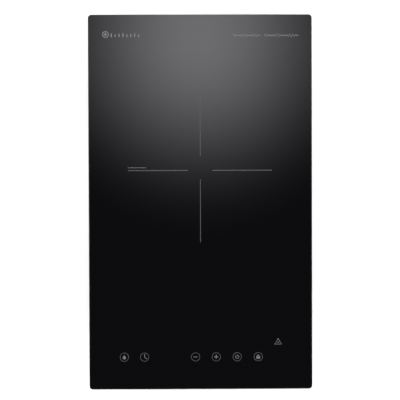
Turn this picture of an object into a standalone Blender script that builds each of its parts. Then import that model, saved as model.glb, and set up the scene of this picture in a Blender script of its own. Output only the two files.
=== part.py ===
"""A built-in domino induction cooktop with one zone: +Z is up, -Y is the user's side, metres.

The origin is at the middle of the footprint, on the surface that the case stands on.
Each object in the collection "induction_cooktop" is one separate piece of the real appliance.
"""

import math

import bmesh
import bpy
from mathutils import Matrix, Vector

MM = 0.001
GAP = 0.3 * MM  # left between pieces that touch

# Driving dimensions
GLASS_WIDTH, GLASS_DEPTH, GLASS_THICKNESS = 310 * MM, 520 * MM, 4 * MM
GLASS_CORNER = 5 * MM
CASE_WIDTH, CASE_DEPTH, CASE_HEIGHT = 270 * MM, 480 * MM, 48 * MM
SHEET = 1 * MM
SEAL_THICKNESS, SEAL_WIDTH = 2.7 * MM, 9 * MM
FRAME_FLANGE = 2 * MM
BEAD = 1.1 * MM
ZONE_Y = 43.5 * MM  # middle of the cooking zone
COIL_RADIUS = 94 * MM
KEY_ROW_Y = -215.5 * MM
KEY_X = [x * MM for x in (-106.4, -78.3, -7.4, 21.3, 50.4, 79.7)]
FAN_X, FAN_Y = -78 * MM, -118 * MM
FAN_RADIUS, FAN_BLADES = 36 * MM, 20
SCROLL_RADIUS, SCROLL_GROWTH = 41 * MM, 10 * MM

# Heights worked out from them
FRAME_TOP = CASE_HEIGHT + GAP + FRAME_FLANGE
GLASS_BOTTOM = FRAME_TOP + GAP + BEAD + GAP
GLASS_TOP = GLASS_BOTTOM + GLASS_THICKNESS
FLOOR = SHEET + GAP  # where the inner pieces stand
UNDER_GLASS = GLASS_BOTTOM - GAP
INNER_X, INNER_Y = CASE_WIDTH / 2 - SHEET, CASE_DEPTH / 2 - SHEET

# The coil unit, from the top down
MICA_BOTTOM = UNDER_GLASS - 1.2 * MM
WINDING_TOP, WINDING_BOTTOM = MICA_BOTTOM - GAP, MICA_BOTTOM - GAP - 4.7 * MM
CARRIER_TOP = WINDING_BOTTOM - GAP
CARRIER_BOTTOM = CARRIER_TOP - 2 * MM
CARRIER_RADIUS = COIL_RADIUS + 4 * MM
FERRITE_HEIGHT, FERRITE_WIDTH = 4.5 * MM, 14 * MM
FERRITE_INNER, FERRITE_OUTER = 28 * MM, 86 * MM
BRIDGE_TOP = 31 * MM
SPRING_RING, SPRING_RADIUS = 80 * MM, 4 * MM
SPRING_ANGLES = [math.radians(a) for a in (30, 150, 270)]
HUB_BORE, HUB_RADIUS, HUB_BOTTOM, HUB_WEB = 7 * MM, 10 * MM, 35.5 * MM, 1.5 * MM
SENSOR_REST = 45.3 * MM  # underside of the sensor cap

# The electronics
BOARD_THICKNESS = 1.6 * MM
BOARD_MIN, BOARD_MAX = (-20 * MM, -178 * MM), (128 * MM, -62 * MM)
BOARD_BOTTOM = 10 * MM
BOARD_TOP = BOARD_BOTTOM + BOARD_THICKNESS
ON_BOARD = BOARD_TOP + GAP
SINK_BASE = 17 * MM
CONTROL_MIN, CONTROL_MAX = (-121 * MM, -233 * MM), (121 * MM, -197 * MM)
CONTROL_BOTTOM = 38 * MM
ON_CONTROL = CONTROL_BOTTOM + BOARD_THICKNESS + GAP

# Fixings and the mains inlet
CLAMP_Y, CLAMP_SCREW_Z = 185 * MM, 29.5 * MM
CLAMP_ARM_TOP, CLAMP_TRAVEL = 9.5 * MM, 14 * MM
CASE_SCREW_Y, CASE_SCREW_Z = 215 * MM, 42 * MM
INLET_X, INLET_Z = -95 * MM, 14 * MM
VENT_WIDTH = 3.6 * MM
REAR_VENT_X = [(-48 + 10 * i) * MM for i in range(16)]
SIDE_VENT_Y = [(-162 + 10 * i) * MM for i in range(10)]
CORNERS = [
    ("front_left", -1, -1),
    ("front_right", 1, -1),
    ("rear_left", -1, 1),
    ("rear_right", 1, 1),
]


def clear_scene():
    for item in list(bpy.data.objects):
        bpy.data.objects.remove(item)


def new_collection(name):
    made = bpy.data.collections.new(name)
    bpy.context.scene.collection.children.link(made)
    return made


def paint(name, colour, roughness, metallic=0.0):
    """A Principled material, made once for each name."""
    made = bpy.data.materials.get(name)
    if made:
        return made
    made = bpy.data.materials.new(name)
    made.use_nodes = True
    shader = made.node_tree.nodes["Principled BSDF"]
    shader.inputs["Base Color"].default_value = (*colour, 1)
    shader.inputs["Roughness"].default_value = roughness
    shader.inputs["Metallic"].default_value = metallic
    return made


BLACK_GLASS = ("black_glass", (0.004, 0.004, 0.005), 0.05)
FOAM = ("black_foam", (0.02, 0.02, 0.02), 0.95)
SILICONE = ("black_silicone", (0.03, 0.03, 0.03), 0.6)
ZINC = ("zinc_sheet", (0.55, 0.57, 0.58), 0.35, 1.0)
ALUMINIUM = ("aluminium", (0.78, 0.78, 0.79), 0.3, 1.0)
STEEL = ("plated_steel", (0.62, 0.62, 0.6), 0.28, 1.0)
BLACK_PLASTIC = ("black_plastic", (0.03, 0.03, 0.032), 0.5)
WHITE_PLASTIC = ("white_plastic", (0.75, 0.74, 0.7), 0.45)
COPPER = ("litz_copper", (0.6, 0.27, 0.12), 0.4, 1.0)
FERRITE = ("ferrite", (0.06, 0.06, 0.065), 0.7)
MICA = ("mica", (0.62, 0.5, 0.33), 0.45)
GREEN_BOARD = ("green_board", (0.02, 0.17, 0.06), 0.4)
CAP_BLUE = ("film_capacitor", (0.05, 0.15, 0.45), 0.4)
CAP_YELLOW = ("box_capacitor", (0.75, 0.55, 0.08), 0.4)
EPOXY = ("chip_epoxy", (0.015, 0.015, 0.016), 0.55)
SLEEVE = ("glass_sleeve", (0.8, 0.78, 0.7), 0.7)
GREY_RIBBON = ("grey_ribbon", (0.45, 0.46, 0.48), 0.55)


def keep(item, name, look, parent=None):
    """Gives a finished piece its name and material, and puts it among the parts."""
    item.name = name
    item.data.name = name
    item.data.materials.clear()
    item.data.materials.append(paint(*look))
    for home in list(item.users_collection):
        home.objects.unlink(item)
    bpy.data.collections["induction_cooktop"].objects.link(item)
    if parent:
        bpy.context.view_layer.update()
        item.parent = parent
        item.matrix_parent_inverse = parent.matrix_world.inverted()
    return item


def helper(item):
    """Marks an operand of a Boolean: it isn't a piece of the appliance."""
    item.hide_render = True
    item.display_type = "WIRE"
    for home in list(item.users_collection):
        home.objects.unlink(item)
    bpy.data.collections["cutters"].objects.link(item)
    return item


def combine(item, other, operation):
    step = item.modifiers.new(operation.lower(), "BOOLEAN")
    step.operation = operation
    step.solver = "EXACT"
    step.object = helper(other)
    return item


def cut(item, *others):
    for other in others:
        combine(item, other, "DIFFERENCE")
    return item


def join(item, *others):
    for other in others:
        combine(item, other, "UNION")
    return item


def round_edges(item, width, segments=1, angle=50):
    step = item.modifiers.new("edges", "BEVEL")
    step.width = width
    step.segments = segments
    step.limit_method = "ANGLE"
    step.angle_limit = math.radians(angle)
    return item


def object_of(name, mesh):
    item = bpy.data.objects.new(name, mesh)
    bpy.context.scene.collection.objects.link(item)
    return item


def mesh_of(name, bm):
    mesh = bpy.data.meshes.new(name)
    bm.to_mesh(mesh)
    bm.free()
    return mesh


def solid_of(guide, name):
    """The guide's evaluated shape as one welded mesh, shaded smooth. The guide is removed."""
    bpy.context.view_layer.update()
    graph = bpy.context.evaluated_depsgraph_get()
    mesh = bpy.data.meshes.new_from_object(guide.evaluated_get(graph))
    place = guide.matrix_world.copy()
    is_curve = guide.type == "CURVE"
    bpy.data.objects.remove(guide)
    bm = bmesh.new()
    bm.from_mesh(mesh)
    bmesh.ops.remove_doubles(bm, verts=bm.verts, dist=0.001 * MM)
    if is_curve:
        flat = math.radians(0.5)
        bmesh.ops.dissolve_limit(bm, verts=bm.verts, edges=bm.edges, angle_limit=flat)
    bm.to_mesh(mesh)
    bm.free()
    mesh.shade_smooth()
    mesh.set_sharp_from_angle(angle=math.radians(35))
    item = object_of(name, mesh)
    item.matrix_world = place
    return item


def poly_curve(name, outlines, cyclic, dimensions):
    curve = bpy.data.curves.new(name, "CURVE")
    curve.dimensions = dimensions
    for outline in outlines:
        spline = curve.splines.new("POLY")
        spline.points.add(len(outline) - 1)
        for point, place in zip(spline.points, outline):
            point.co = (*place, 1) if len(place) == 3 else (*place, 0, 1)
        spline.use_cyclic_u = cyclic
    return object_of(name, curve)


def plate(name, outlines, bottom, top):
    """A flat solid between two heights. Outlines inside another are holes."""
    guide = poly_curve(name, outlines, True, "2D")
    guide.data.fill_mode = "BOTH"
    guide.data.extrude = (top - bottom) / 2
    guide.location.z = (top + bottom) / 2
    return solid_of(guide, name)


def tube(name, points, radius, resolution=1):
    guide = poly_curve(name, [points], False, "3D")
    guide.data.bevel_depth = radius
    guide.data.bevel_resolution = resolution
    guide.data.use_fill_caps = True
    return solid_of(guide, name)


def box(name, low, high):
    bm = bmesh.new()
    size = [b - a for a, b in zip(low, high)]
    middle = [(a + b) / 2 for a, b in zip(low, high)]
    bmesh.ops.create_cube(bm, size=1, matrix=Matrix.Diagonal((*size, 1)))
    item = object_of(name, mesh_of(name, bm))
    item.location = middle
    return item


def cylinder(name, radius, start, end, segments=16):
    """A round bar from one point to another."""
    start, end = Vector(start), Vector(end)
    bm = bmesh.new()
    bmesh.ops.create_cone(
        bm, cap_ends=True, segments=segments, radius1=radius, radius2=radius, depth=(end - start).length
    )
    item = object_of(name, mesh_of(name, bm))
    item.location = (start + end) / 2
    item.rotation_mode = "QUATERNION"
    item.rotation_quaternion = (end - start).to_track_quat("Z", "Y")
    return item


def turned(name, profile, steps, closed=False):
    """A profile of (radius, height), listed down its outer side, turned about Z."""
    bm = bmesh.new()
    points = [bm.verts.new((r, 0, z)) for r, z in profile]
    for first, second in zip(points, points[1:]):
        bm.edges.new((first, second))
    if closed:
        bm.edges.new((points[-1], points[0]))
    guide = object_of(name, mesh_of(name, bm))
    step = guide.modifiers.new("turn", "SCREW")
    step.steps = step.render_steps = steps
    step.use_merge_vertices = True
    step.merge_threshold = 0.01 * MM
    return solid_of(guide, name)


def arc(centre, radius, start, end, segments):
    """Points of an arc, angles in degrees."""
    angles = [math.radians(start + (end - start) * i / segments) for i in range(segments + 1)]
    return [(centre[0] + radius * math.cos(a), centre[1] + radius * math.sin(a)) for a in angles]


def circle(x, y, radius, segments=16):
    return arc((x, y), radius, 0, 360, segments)[:-1]


def rectangle(low, high):
    return [low, (high[0], low[1]), high, (low[0], high[1])]


def rounded(width, depth, corner, segments=5):
    """A rectangle about the origin with round corners."""
    x, y = width / 2 - corner, depth / 2 - corner
    found = []
    for centre, start in (((x, y), 0), ((-x, y), 90), ((-x, -y), 180), ((x, -y), 270)):
        found += arc(centre, corner, start, start + 90, segments)
    return found


def slot(x, y, length, width, segments=3):
    """A slot outline along Y with round ends."""
    reach, r = length / 2 - width / 2, width / 2
    return arc((x, y + reach), r, 0, 180, segments) + arc((x, y - reach), r, 180, 360, segments)


def smooth_route(points, step):
    """Points read from a smooth curve through a route's own points, about a step apart."""
    ends = [2 * points[0] - points[1], *points, 2 * points[-1] - points[-2]]
    found = [points[0]]
    for a, b, c, d in zip(ends, ends[1:], ends[2:], ends[3:]):
        parts = max(1, round((c - b).length / step))
        for i in range(1, parts + 1):
            t = i / parts
            bend = (2 * a - 5 * b + 4 * c - d) * t * t + (3 * b - a - 3 * c + d) * t ** 3
            found.append(0.5 * (2 * b + (c - a) * t + bend))
    return found


def route(name, points_mm, radius, look, parent=None):
    points = [tuple(p) for p in smooth_route([Vector(p) * MM for p in points_mm], 5 * radius)]
    return keep(tube(name, points, radius, 2), name, look, parent)


def helix(name, x, y, radius, wire, bottom, top, turns, per_turn=12):
    """A compression spring between two heights, with a half turn laid flat at each end."""
    low, high = bottom + wire, top - wire
    flat = per_turn // 2
    count = round(turns * per_turn)
    points = []
    for i in range(count + 1):
        climb = min(max((i - flat) / (count - 2 * flat), 0), 1)
        angle = 2 * math.pi * i / per_turn
        points.append((radius * math.cos(angle), radius * math.sin(angle), low + (high - low) * climb))
    spring = tube(name, points, wire, 0)
    spring.location = (x, y, 0)
    return spring


def screw(name, place, direction, shank, length, head, head_height):
    """A pan-head screw whose head's underside is at place. Its head points along direction."""
    item = turned(
        name,
        [
            (0, head_height),
            (head * 0.55, head_height),
            (head * 0.9, head_height * 0.65),
            (head, 0),
            (shank, 0),
            (shank, -length * 0.85),
            (shank * 0.4, -length),
            (0, -length),
        ],
        12,
    )
    item.location = place
    item.rotation_mode = "QUATERNION"
    item.rotation_quaternion = Vector(direction).to_track_quat("Z", "Y")
    return keep(item, name, STEEL)


def make_glass():
    outline = rounded(GLASS_WIDTH, GLASS_DEPTH, GLASS_CORNER, 6)
    glass = plate("glass", [outline], GLASS_BOTTOM, GLASS_TOP)
    keep(round_edges(glass, 0.7 * MM, 2), "glass_top", BLACK_GLASS)
    seal_outer = (GLASS_WIDTH - 4 * MM, GLASS_DEPTH - 4 * MM)
    seal = plate(
        "seal",
        [
            rounded(*seal_outer, 4 * MM, 4),
            rounded(seal_outer[0] - 2 * SEAL_WIDTH, seal_outer[1] - 2 * SEAL_WIDTH, 3 * MM, 3),
        ],
        UNDER_GLASS - SEAL_THICKNESS,
        UNDER_GLASS,
    )
    keep(seal, "rim_seal", FOAM)
    bead = plate(
        "bead",
        [
            rounded(CASE_WIDTH + 2 * MM, CASE_DEPTH + 2 * MM, 7 * MM, 4),
            rounded(CASE_WIDTH - 22 * MM, CASE_DEPTH - 22 * MM, 4 * MM, 3),
        ],
        FRAME_TOP + GAP,
        UNDER_GLASS,
    )
    keep(bead, "adhesive_bead", SILICONE)


def make_glass_frame():
    """The ring that the glass is bonded to: a flange over the case's edge, and a skirt inside it."""
    flange = plate(
        "flange",
        [
            rounded(CASE_WIDTH + 4 * MM, CASE_DEPTH + 4 * MM, 8 * MM, 4),
            rounded(CASE_WIDTH - 26 * MM, CASE_DEPTH - 26 * MM, 4 * MM, 3),
        ],
        CASE_HEIGHT + GAP,
        FRAME_TOP,
    )
    skirt_outer = (2 * (INNER_X - GAP), 2 * (INNER_Y - GAP))
    skirt = plate(
        "skirt",
        [
            rounded(*skirt_outer, 5 * MM, 4),
            rounded(skirt_outer[0] - 4 * MM, skirt_outer[1] - 4 * MM, 3 * MM, 3),
        ],
        CASE_HEIGHT - 12 * MM,
        CASE_HEIGHT + 1 * MM,
    )
    frame = join(flange, skirt)
    for name, side, end in CORNERS:
        frame = cut(frame, case_screw_hole("frame_hole_" + name, side, end))
    keep(frame, "glass_frame", BLACK_PLASTIC)


def case_screw_hole(name, side, end):
    y = end * CASE_SCREW_Y
    return cylinder(
        name,
        1.8 * MM,
        (side * (INNER_X - 5 * MM), y, CASE_SCREW_Z),
        (side * (INNER_X + 3 * MM), y, CASE_SCREW_Z),
        12,
    )


def pressed_tray(name):
    """The case's outer surface, open at the top, given its sheet thickness by Solidify."""
    bm = bmesh.new()
    size = Matrix.Diagonal((CASE_WIDTH, CASE_DEPTH, CASE_HEIGHT, 1))
    bmesh.ops.create_cube(bm, size=1, matrix=Matrix.Translation((0, 0, CASE_HEIGHT / 2)) @ size)
    top = [f for f in bm.faces if f.normal.z > 0.5]
    bmesh.ops.delete(bm, geom=top, context="FACES_ONLY")
    upright = [e for e in bm.edges if abs(e.verts[0].co.z - e.verts[1].co.z) > CASE_HEIGHT / 2]
    bmesh.ops.bevel(bm, geom=upright, offset=6 * MM, segments=4, profile=0.5, affect="EDGES")
    lowest = [e for e in bm.edges if max(v.co.z for v in e.verts) < 0.1 * MM]
    bmesh.ops.bevel(bm, geom=lowest, offset=2 * MM, segments=2, profile=0.5, affect="EDGES")
    item = object_of(name, mesh_of(name, bm))
    step = item.modifiers.new("sheet", "SOLIDIFY")
    step.thickness = SHEET
    step.offset = -1
    step.use_even_offset = True
    return item


def vents(name, places, length):
    """A cutter for a row of vents, side by side along X."""
    return plate(name, [slot(x, 0, length, VENT_WIDTH) for x in places], -3 * MM, 3 * MM)


def make_base_pan():
    pan = pressed_tray("pan")
    grille_radius, pitch = 31 * MM, 6.2 * MM
    chords = []
    for i in range(-4, 5):
        half = math.sqrt(grille_radius ** 2 - (i * pitch) ** 2)
        chords.append(slot(FAN_X + i * pitch, FAN_Y, 2 * half, 3.4 * MM))
    grille = plate("inlet_grille", chords, -2 * MM, 3 * MM)
    floor_vents = vents("floor_vents", REAR_VENT_X, 44 * MM)
    floor_vents.location = (0, 176 * MM, 0)
    back = vents("back_vents", REAR_VENT_X, 22 * MM)
    back.location = (0, CASE_DEPTH / 2, 22 * MM)
    back.rotation_euler = (math.pi / 2, 0, 0)
    side = vents("side_vents", SIDE_VENT_Y, 22 * MM)
    side.location = (CASE_WIDTH / 2, 0, 22 * MM)
    side.rotation_euler = (math.pi / 2, 0, math.pi / 2)
    inlet = cylinder(
        "inlet_hole",
        9 * MM,
        (INLET_X, INNER_Y - 3 * MM, INLET_Z),
        (INLET_X, INNER_Y + 4 * MM, INLET_Z),
        24,
    )
    cut(pan, grille, floor_vents, back, side, inlet)
    for name, x, y in CORNERS:
        cut(pan, case_screw_hole("case_hole_" + name, x, y))
        clamp_hole = cylinder(
            "clamp_hole_" + name,
            2.3 * MM,
            (x * (INNER_X - 2 * MM), y * CLAMP_Y, CLAMP_SCREW_Z),
            (x * (INNER_X + 3 * MM), y * CLAMP_Y, CLAMP_SCREW_Z),
            12,
        )
        cut(pan, clamp_hole)
    keep(pan, "base_pan", ZINC)


def make_case_screws():
    for name, side, end in CORNERS:
        place = (side * (CASE_WIDTH / 2 + GAP), end * CASE_SCREW_Y, CASE_SCREW_Z)
        screw("case_screw_" + name, place, (side, 0, 0), 1.5 * MM, 5 * MM, 3.2 * MM, 2 * MM)


def make_clamps():
    """The brackets that slide up under the worktop, and the screws that hold them."""
    sheet, reach, half_width = 1.5 * MM, 15.5 * MM, 12 * MM
    arm, slot_width = CLAMP_ARM_TOP, 4.6 * MM
    leg_top = CLAMP_SCREW_Z + slot_width / 2 + 1.8 * MM
    profile = [
        (0, leg_top),
        (0, arm),
        (2 * MM, arm - sheet),
        (reach - 2 * MM, arm - sheet),
        (reach, arm),
        (reach, arm + 2.5 * MM),
        (reach - sheet, arm + 2.5 * MM),
        (reach - 1.2 * sheet, arm + 0.6 * MM),
        (reach - 3 * MM, arm),
        (sheet + 1 * MM, arm),
        (sheet, arm + 1 * MM),
        (sheet, leg_top),
    ]
    for name, side, end in CORNERS:
        body = bpy.data.objects.new("clamp_" + name, None)
        bpy.context.scene.collection.objects.link(body)
        inner = side * (CASE_WIDTH / 2 + GAP)
        body.location = (inner, end * CLAMP_Y, CLAMP_SCREW_Z)
        bracket = plate("bracket", [[(side * x, z) for x, z in profile]], -half_width, half_width)
        bracket.location = (inner, end * CLAMP_Y, 0)
        bracket.rotation_euler = (math.pi / 2, 0, 0)
        middle = CLAMP_SCREW_Z - CLAMP_TRAVEL / 2
        outline = slot(0, middle, CLAMP_TRAVEL + slot_width, slot_width, 5)
        window = plate("window", [outline], -4 * MM, 4 * MM)
        window.location = (inner, end * CLAMP_Y, 0)
        window.rotation_euler = (math.pi / 2, 0, math.pi / 2)
        keep(cut(bracket, window), "clamp_bracket_" + name, STEEL, body)
        place = (inner + side * (sheet + GAP), end * CLAMP_Y, CLAMP_SCREW_Z)
        screw("clamp_screw_" + name, place, (side, 0, 0), 1.9 * MM, 6 * MM, 4.2 * MM, 2.6 * MM)


def make_bridge():
    """The aluminium sheet bent over the air duct. It carries the coil's springs."""
    half, front, rear = 118 * MM, ZONE_Y - 86.5 * MM, ZONE_Y + 86.5 * MM
    foot, sheet = 10 * MM, 1 * MM
    outer = [
        (-half - foot, FLOOR),
        (-half, FLOOR),
        (-half, BRIDGE_TOP - sheet),
        (half, BRIDGE_TOP - sheet),
        (half, FLOOR),
        (half + foot, FLOOR),
    ]
    inner = []
    for x, z in outer[::-1]:
        out = 0 if abs(x) > half else sheet
        inner.append((math.copysign(abs(x) + out, x), z + sheet))
    bridge = plate("bridge", [outer + inner], -(rear - front) / 2, (rear - front) / 2)
    bridge.location = (0, ZONE_Y, 0)
    bridge.rotation_euler = (math.pi / 2, 0, 0)
    studs = [
        cylinder("stud", 2.6 * MM, (x, y, BRIDGE_TOP - 0.5 * MM), (x, y, BRIDGE_TOP + 3.5 * MM), 12)
        for x, y in spring_places()
    ]
    middle = Vector((0, ZONE_Y, BRIDGE_TOP))
    reach = Vector((0, 0, 5 * MM))
    hole = cylinder("wire_hole", 8 * MM, middle - reach, middle + reach, 20)
    keep(cut(join(bridge, *studs), hole), "shield_bridge", ALUMINIUM)


def spring_places():
    return [(SPRING_RING * math.cos(a), ZONE_Y + SPRING_RING * math.sin(a)) for a in SPRING_ANGLES]


def make_coil_unit():
    """Everything that floats on three springs against the underside of the glass."""
    body = bpy.data.objects.new("coil_unit", None)
    bpy.context.scene.collection.objects.link(body)
    body.location = (0, ZONE_Y, CARRIER_BOTTOM)

    disc = plate("disc", [circle(0, ZONE_Y, CARRIER_RADIUS, 48)], CARRIER_BOTTOM, CARRIER_TOP)
    hub = cylinder("hub", HUB_RADIUS, (0, ZONE_Y, HUB_BOTTOM), (0, ZONE_Y, CARRIER_TOP - 0.5 * MM), 24)
    ribs = []
    rib_offset = FERRITE_WIDTH / 2 + 1.3 * MM
    for k in range(6):
        turn = Matrix.Translation((0, ZONE_Y, 0)) @ Matrix.Rotation(math.radians(60 * k), 4, "Z")
        for offset in (-rib_offset, rib_offset):
            low = (FERRITE_INNER + 2 * MM, offset - 0.7 * MM, CARRIER_BOTTOM - FERRITE_HEIGHT)
            high = (FERRITE_OUTER - 4 * MM, offset + 0.7 * MM, CARRIER_BOTTOM + 0.8 * MM)
            rib = box("rib", low, high)
            rib.matrix_world = turn @ Matrix.Translation(rib.location)
            ribs.append(rib)
    spigot_low, spigot_high = CARRIER_BOTTOM - 4.5 * MM, CARRIER_BOTTOM + 0.8 * MM
    spigots = [
        cylinder("spigot", 2.6 * MM, (x, y, spigot_low), (x, y, spigot_high), 12)
        for x, y in spring_places()
    ]
    join(disc, hub, *ribs, *spigots)
    bore_bottom, above = (0, ZONE_Y, HUB_BOTTOM + HUB_WEB), (0, ZONE_Y, CARRIER_TOP + 5 * MM)
    bore = cylinder("bore", HUB_BORE, bore_bottom, above, 24)
    below = (0, ZONE_Y, HUB_BOTTOM - 5 * MM)
    wire_hole = cylinder("sensor_wire_hole", 2.5 * MM, below, above, 12)
    front = ZONE_Y - CARRIER_RADIUS
    notch = box(
        "notch",
        (-12 * MM, front - 5 * MM, CARRIER_BOTTOM - 2 * MM),
        (12 * MM, front + 12.5 * MM, CARRIER_TOP + 2 * MM),
    )
    keep(cut(disc, bore, wire_hole, notch), "coil_carrier", WHITE_PLASTIC, body)

    for name, inner, outer in (("outer", 52 * MM, COIL_RADIUS), ("inner", 20 * MM, 44 * MM)):
        ring = turned(
            "ring",
            [
                (outer - 1 * MM, WINDING_TOP),
                (outer, WINDING_TOP - 1 * MM),
                (outer, WINDING_BOTTOM + 1 * MM),
                (outer - 1 * MM, WINDING_BOTTOM),
                (inner + 1 * MM, WINDING_BOTTOM),
                (inner, WINDING_BOTTOM + 1 * MM),
                (inner, WINDING_TOP - 1 * MM),
                (inner + 1 * MM, WINDING_TOP),
            ],
            36,
            closed=True,
        )
        ring.location = (0, ZONE_Y, 0)
        keep(ring, "coil_winding_" + name, COPPER, body)

    for k in range(6):
        bar = box(
            "bar",
            (FERRITE_INNER, -FERRITE_WIDTH / 2, CARRIER_BOTTOM - GAP - FERRITE_HEIGHT),
            (FERRITE_OUTER, FERRITE_WIDTH / 2, CARRIER_BOTTOM - GAP),
        )
        turn = Matrix.Translation((0, ZONE_Y, 0)) @ Matrix.Rotation(math.radians(60 * k), 4, "Z")
        bar.matrix_world = turn @ Matrix.Translation(bar.location)
        keep(round_edges(bar, 0.6 * MM), f"ferrite_bar_{k + 1}", FERRITE, body)

    mica = plate(
        "mica",
        [circle(0, ZONE_Y, CARRIER_RADIUS, 48), circle(0, ZONE_Y, 14 * MM, 24)],
        MICA_BOTTOM,
        MICA_BOTTOM + 0.9 * MM,
    )
    keep(mica, "mica_disc", MICA, body)

    for k, (x, y) in enumerate(spring_places()):
        low, high = BRIDGE_TOP + GAP, CARRIER_BOTTOM - GAP
        spring = helix("spring", x, y, SPRING_RADIUS, 0.5 * MM, low, high, 4.5)
        keep(spring, f"coil_spring_{k + 1}", STEEL)

    for side, name in ((-1, "left"), (1, "right")):
        points = [
            (side * 7, -47.3, 44.8),
            (side * 7, -47.6, 40.5),
            (side * 7.5, -50.5, 34.5),
            (side * 10 + 1, -57, 27),
            (side * 13 + 4, -64, 20),
            (side * 14 + 6, -70, 16.4),
        ]
        route("coil_lead_" + name, points, 1.7 * MM, SLEEVE)
    return body


def make_sensor(coil_body):
    """The thermistor's cap, pressed up against the glass by its own spring in the coil's hub."""
    body = bpy.data.objects.new("sensor", None)
    bpy.context.scene.collection.objects.link(body)
    body.location = (0, ZONE_Y, SENSOR_REST)
    body.parent = coil_body
    body.matrix_parent_inverse = Matrix.Translation(-coil_body.location)
    cap = turned(
        "cap",
        [
            (0, UNDER_GLASS),
            (4.2 * MM, UNDER_GLASS),
            (5 * MM, UNDER_GLASS - 0.8 * MM),
            (5 * MM, SENSOR_REST + 1.5 * MM),
            (6.4 * MM, SENSOR_REST + 1.5 * MM),
            (6.4 * MM, SENSOR_REST),
            (0, SENSOR_REST),
        ],
        20,
    )
    cap.location = (0, ZONE_Y, 0)
    keep(cap, "sensor_cap", WHITE_PLASTIC, body)
    low, high = HUB_BOTTOM + HUB_WEB + GAP, SENSOR_REST - GAP
    spring = helix("spring", 0, ZONE_Y, 5 * MM, 0.4 * MM, low, high, 4)
    keep(spring, "sensor_spring", STEEL, coil_body)


def make_power_board():
    low, high = BOARD_MIN, BOARD_MAX
    inset = 5 * MM
    posts = [(x, y) for x in (low[0] + inset, high[0] - inset) for y in (low[1] + inset, high[1] - inset)]
    tray = plate(
        "tray",
        [rectangle((low[0] - 2 * MM, low[1] - 2 * MM), (high[0] + 2 * MM, high[1] + 2 * MM))],
        FLOOR,
        FLOOR + 1.5 * MM,
    )
    foot, head = FLOOR + 0.5 * MM, BOARD_BOTTOM - GAP
    bosses = [cylinder("boss", 3.5 * MM, (x, y, foot), (x, y, head), 12) for x, y in posts]
    keep(join(tray, *bosses), "board_tray", BLACK_PLASTIC)
    board = plate(
        "board",
        [rectangle(low, high), *[circle(x, y, 1.7 * MM, 10) for x, y in posts]],
        BOARD_BOTTOM,
        BOARD_TOP,
    )
    keep(board, "power_board", GREEN_BOARD)


def make_heatsink():
    """An extrusion with upright fins on a base that stands on two legs over the power devices."""
    front, rear, top, base, fin = -170, -116, 42, 4, 1.6
    fins = 9
    pitch = (rear - front - fin) / (fins - 1)
    profile = [(rear, ON_BOARD / MM), (rear, top)]
    for i in range(fins - 1):
        right = rear - i * pitch
        profile += [(right - fin, top), (right - fin, SINK_BASE / MM + base)]
        profile += [(right - pitch, SINK_BASE / MM + base), (right - pitch, top)]
    profile += [(front, top), (front, ON_BOARD / MM), (front + 3, ON_BOARD / MM)]
    profile += [(front + 3, SINK_BASE / MM), (rear - 3, SINK_BASE / MM), (rear - 3, ON_BOARD / MM)]
    sink = plate("sink", [[(y * MM, z * MM) for y, z in profile]], -44 * MM, 44 * MM)
    sink.location = (34 * MM, 0, 0)
    sink.rotation_euler = (math.pi / 2, 0, math.pi / 2)
    keep(sink, "heatsink", ALUMINIUM)


def boxed_part(name, x, y, z, look, rounding=0.8):
    """A component as a box with eased edges, its spans in millimetres."""
    low = tuple(a * MM for a in (x[0], y[0], z[0]))
    high = tuple(a * MM for a in (x[1], y[1], z[1]))
    return keep(round_edges(box(name, low, high), rounding * MM), name, look)


def make_power_parts():
    foot = ON_BOARD / MM
    under_sink = SINK_BASE / MM - 0.3
    boxed_part("igbt", (12, 28), (-154, -134), (foot, under_sink), EPOXY)
    boxed_part("bridge_rectifier", (46, 68), (-154, -136), (foot, under_sink), EPOXY)
    boxed_part("resonant_capacitor", (88, 122), (-106, -84), (foot, 38), CAP_BLUE, 1.2)
    boxed_part("smoothing_capacitor", (44, 78), (-108, -88), (foot, 36), CAP_YELLOW, 1.2)
    inner, outer, height, soft = 7 * MM, 16 * MM, 16 * MM, 3 * MM
    choke = turned(
        "choke",
        [
            (outer - soft, height),
            (outer, height - soft),
            (outer, soft),
            (outer - soft, 0),
            (inner + soft, 0),
            (inner, soft),
            (inner, height - soft),
            (inner + soft, height),
        ],
        24,
        closed=True,
    )
    choke.location = (104 * MM, -138 * MM, ON_BOARD)
    keep(choke, "filter_choke", COPPER)


def scroll(offset, reach):
    """The blower's spiral outline, moved in by an offset, with its outlet at x = reach."""
    throat = SCROLL_RADIUS * math.sin(math.radians(-20)) - offset
    start, end = math.asin(throat / (SCROLL_RADIUS - offset)), math.radians(270)
    spiral = []
    for i in range(25):
        share = i / 24
        angle = start + (end - start) * share
        radius = SCROLL_RADIUS + SCROLL_GROWTH * share - offset
        spiral.append((FAN_X + radius * math.cos(angle), FAN_Y + radius * math.sin(angle)))
    return [*spiral, (reach, spiral[-1][1]), (reach, spiral[0][1])]


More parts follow.
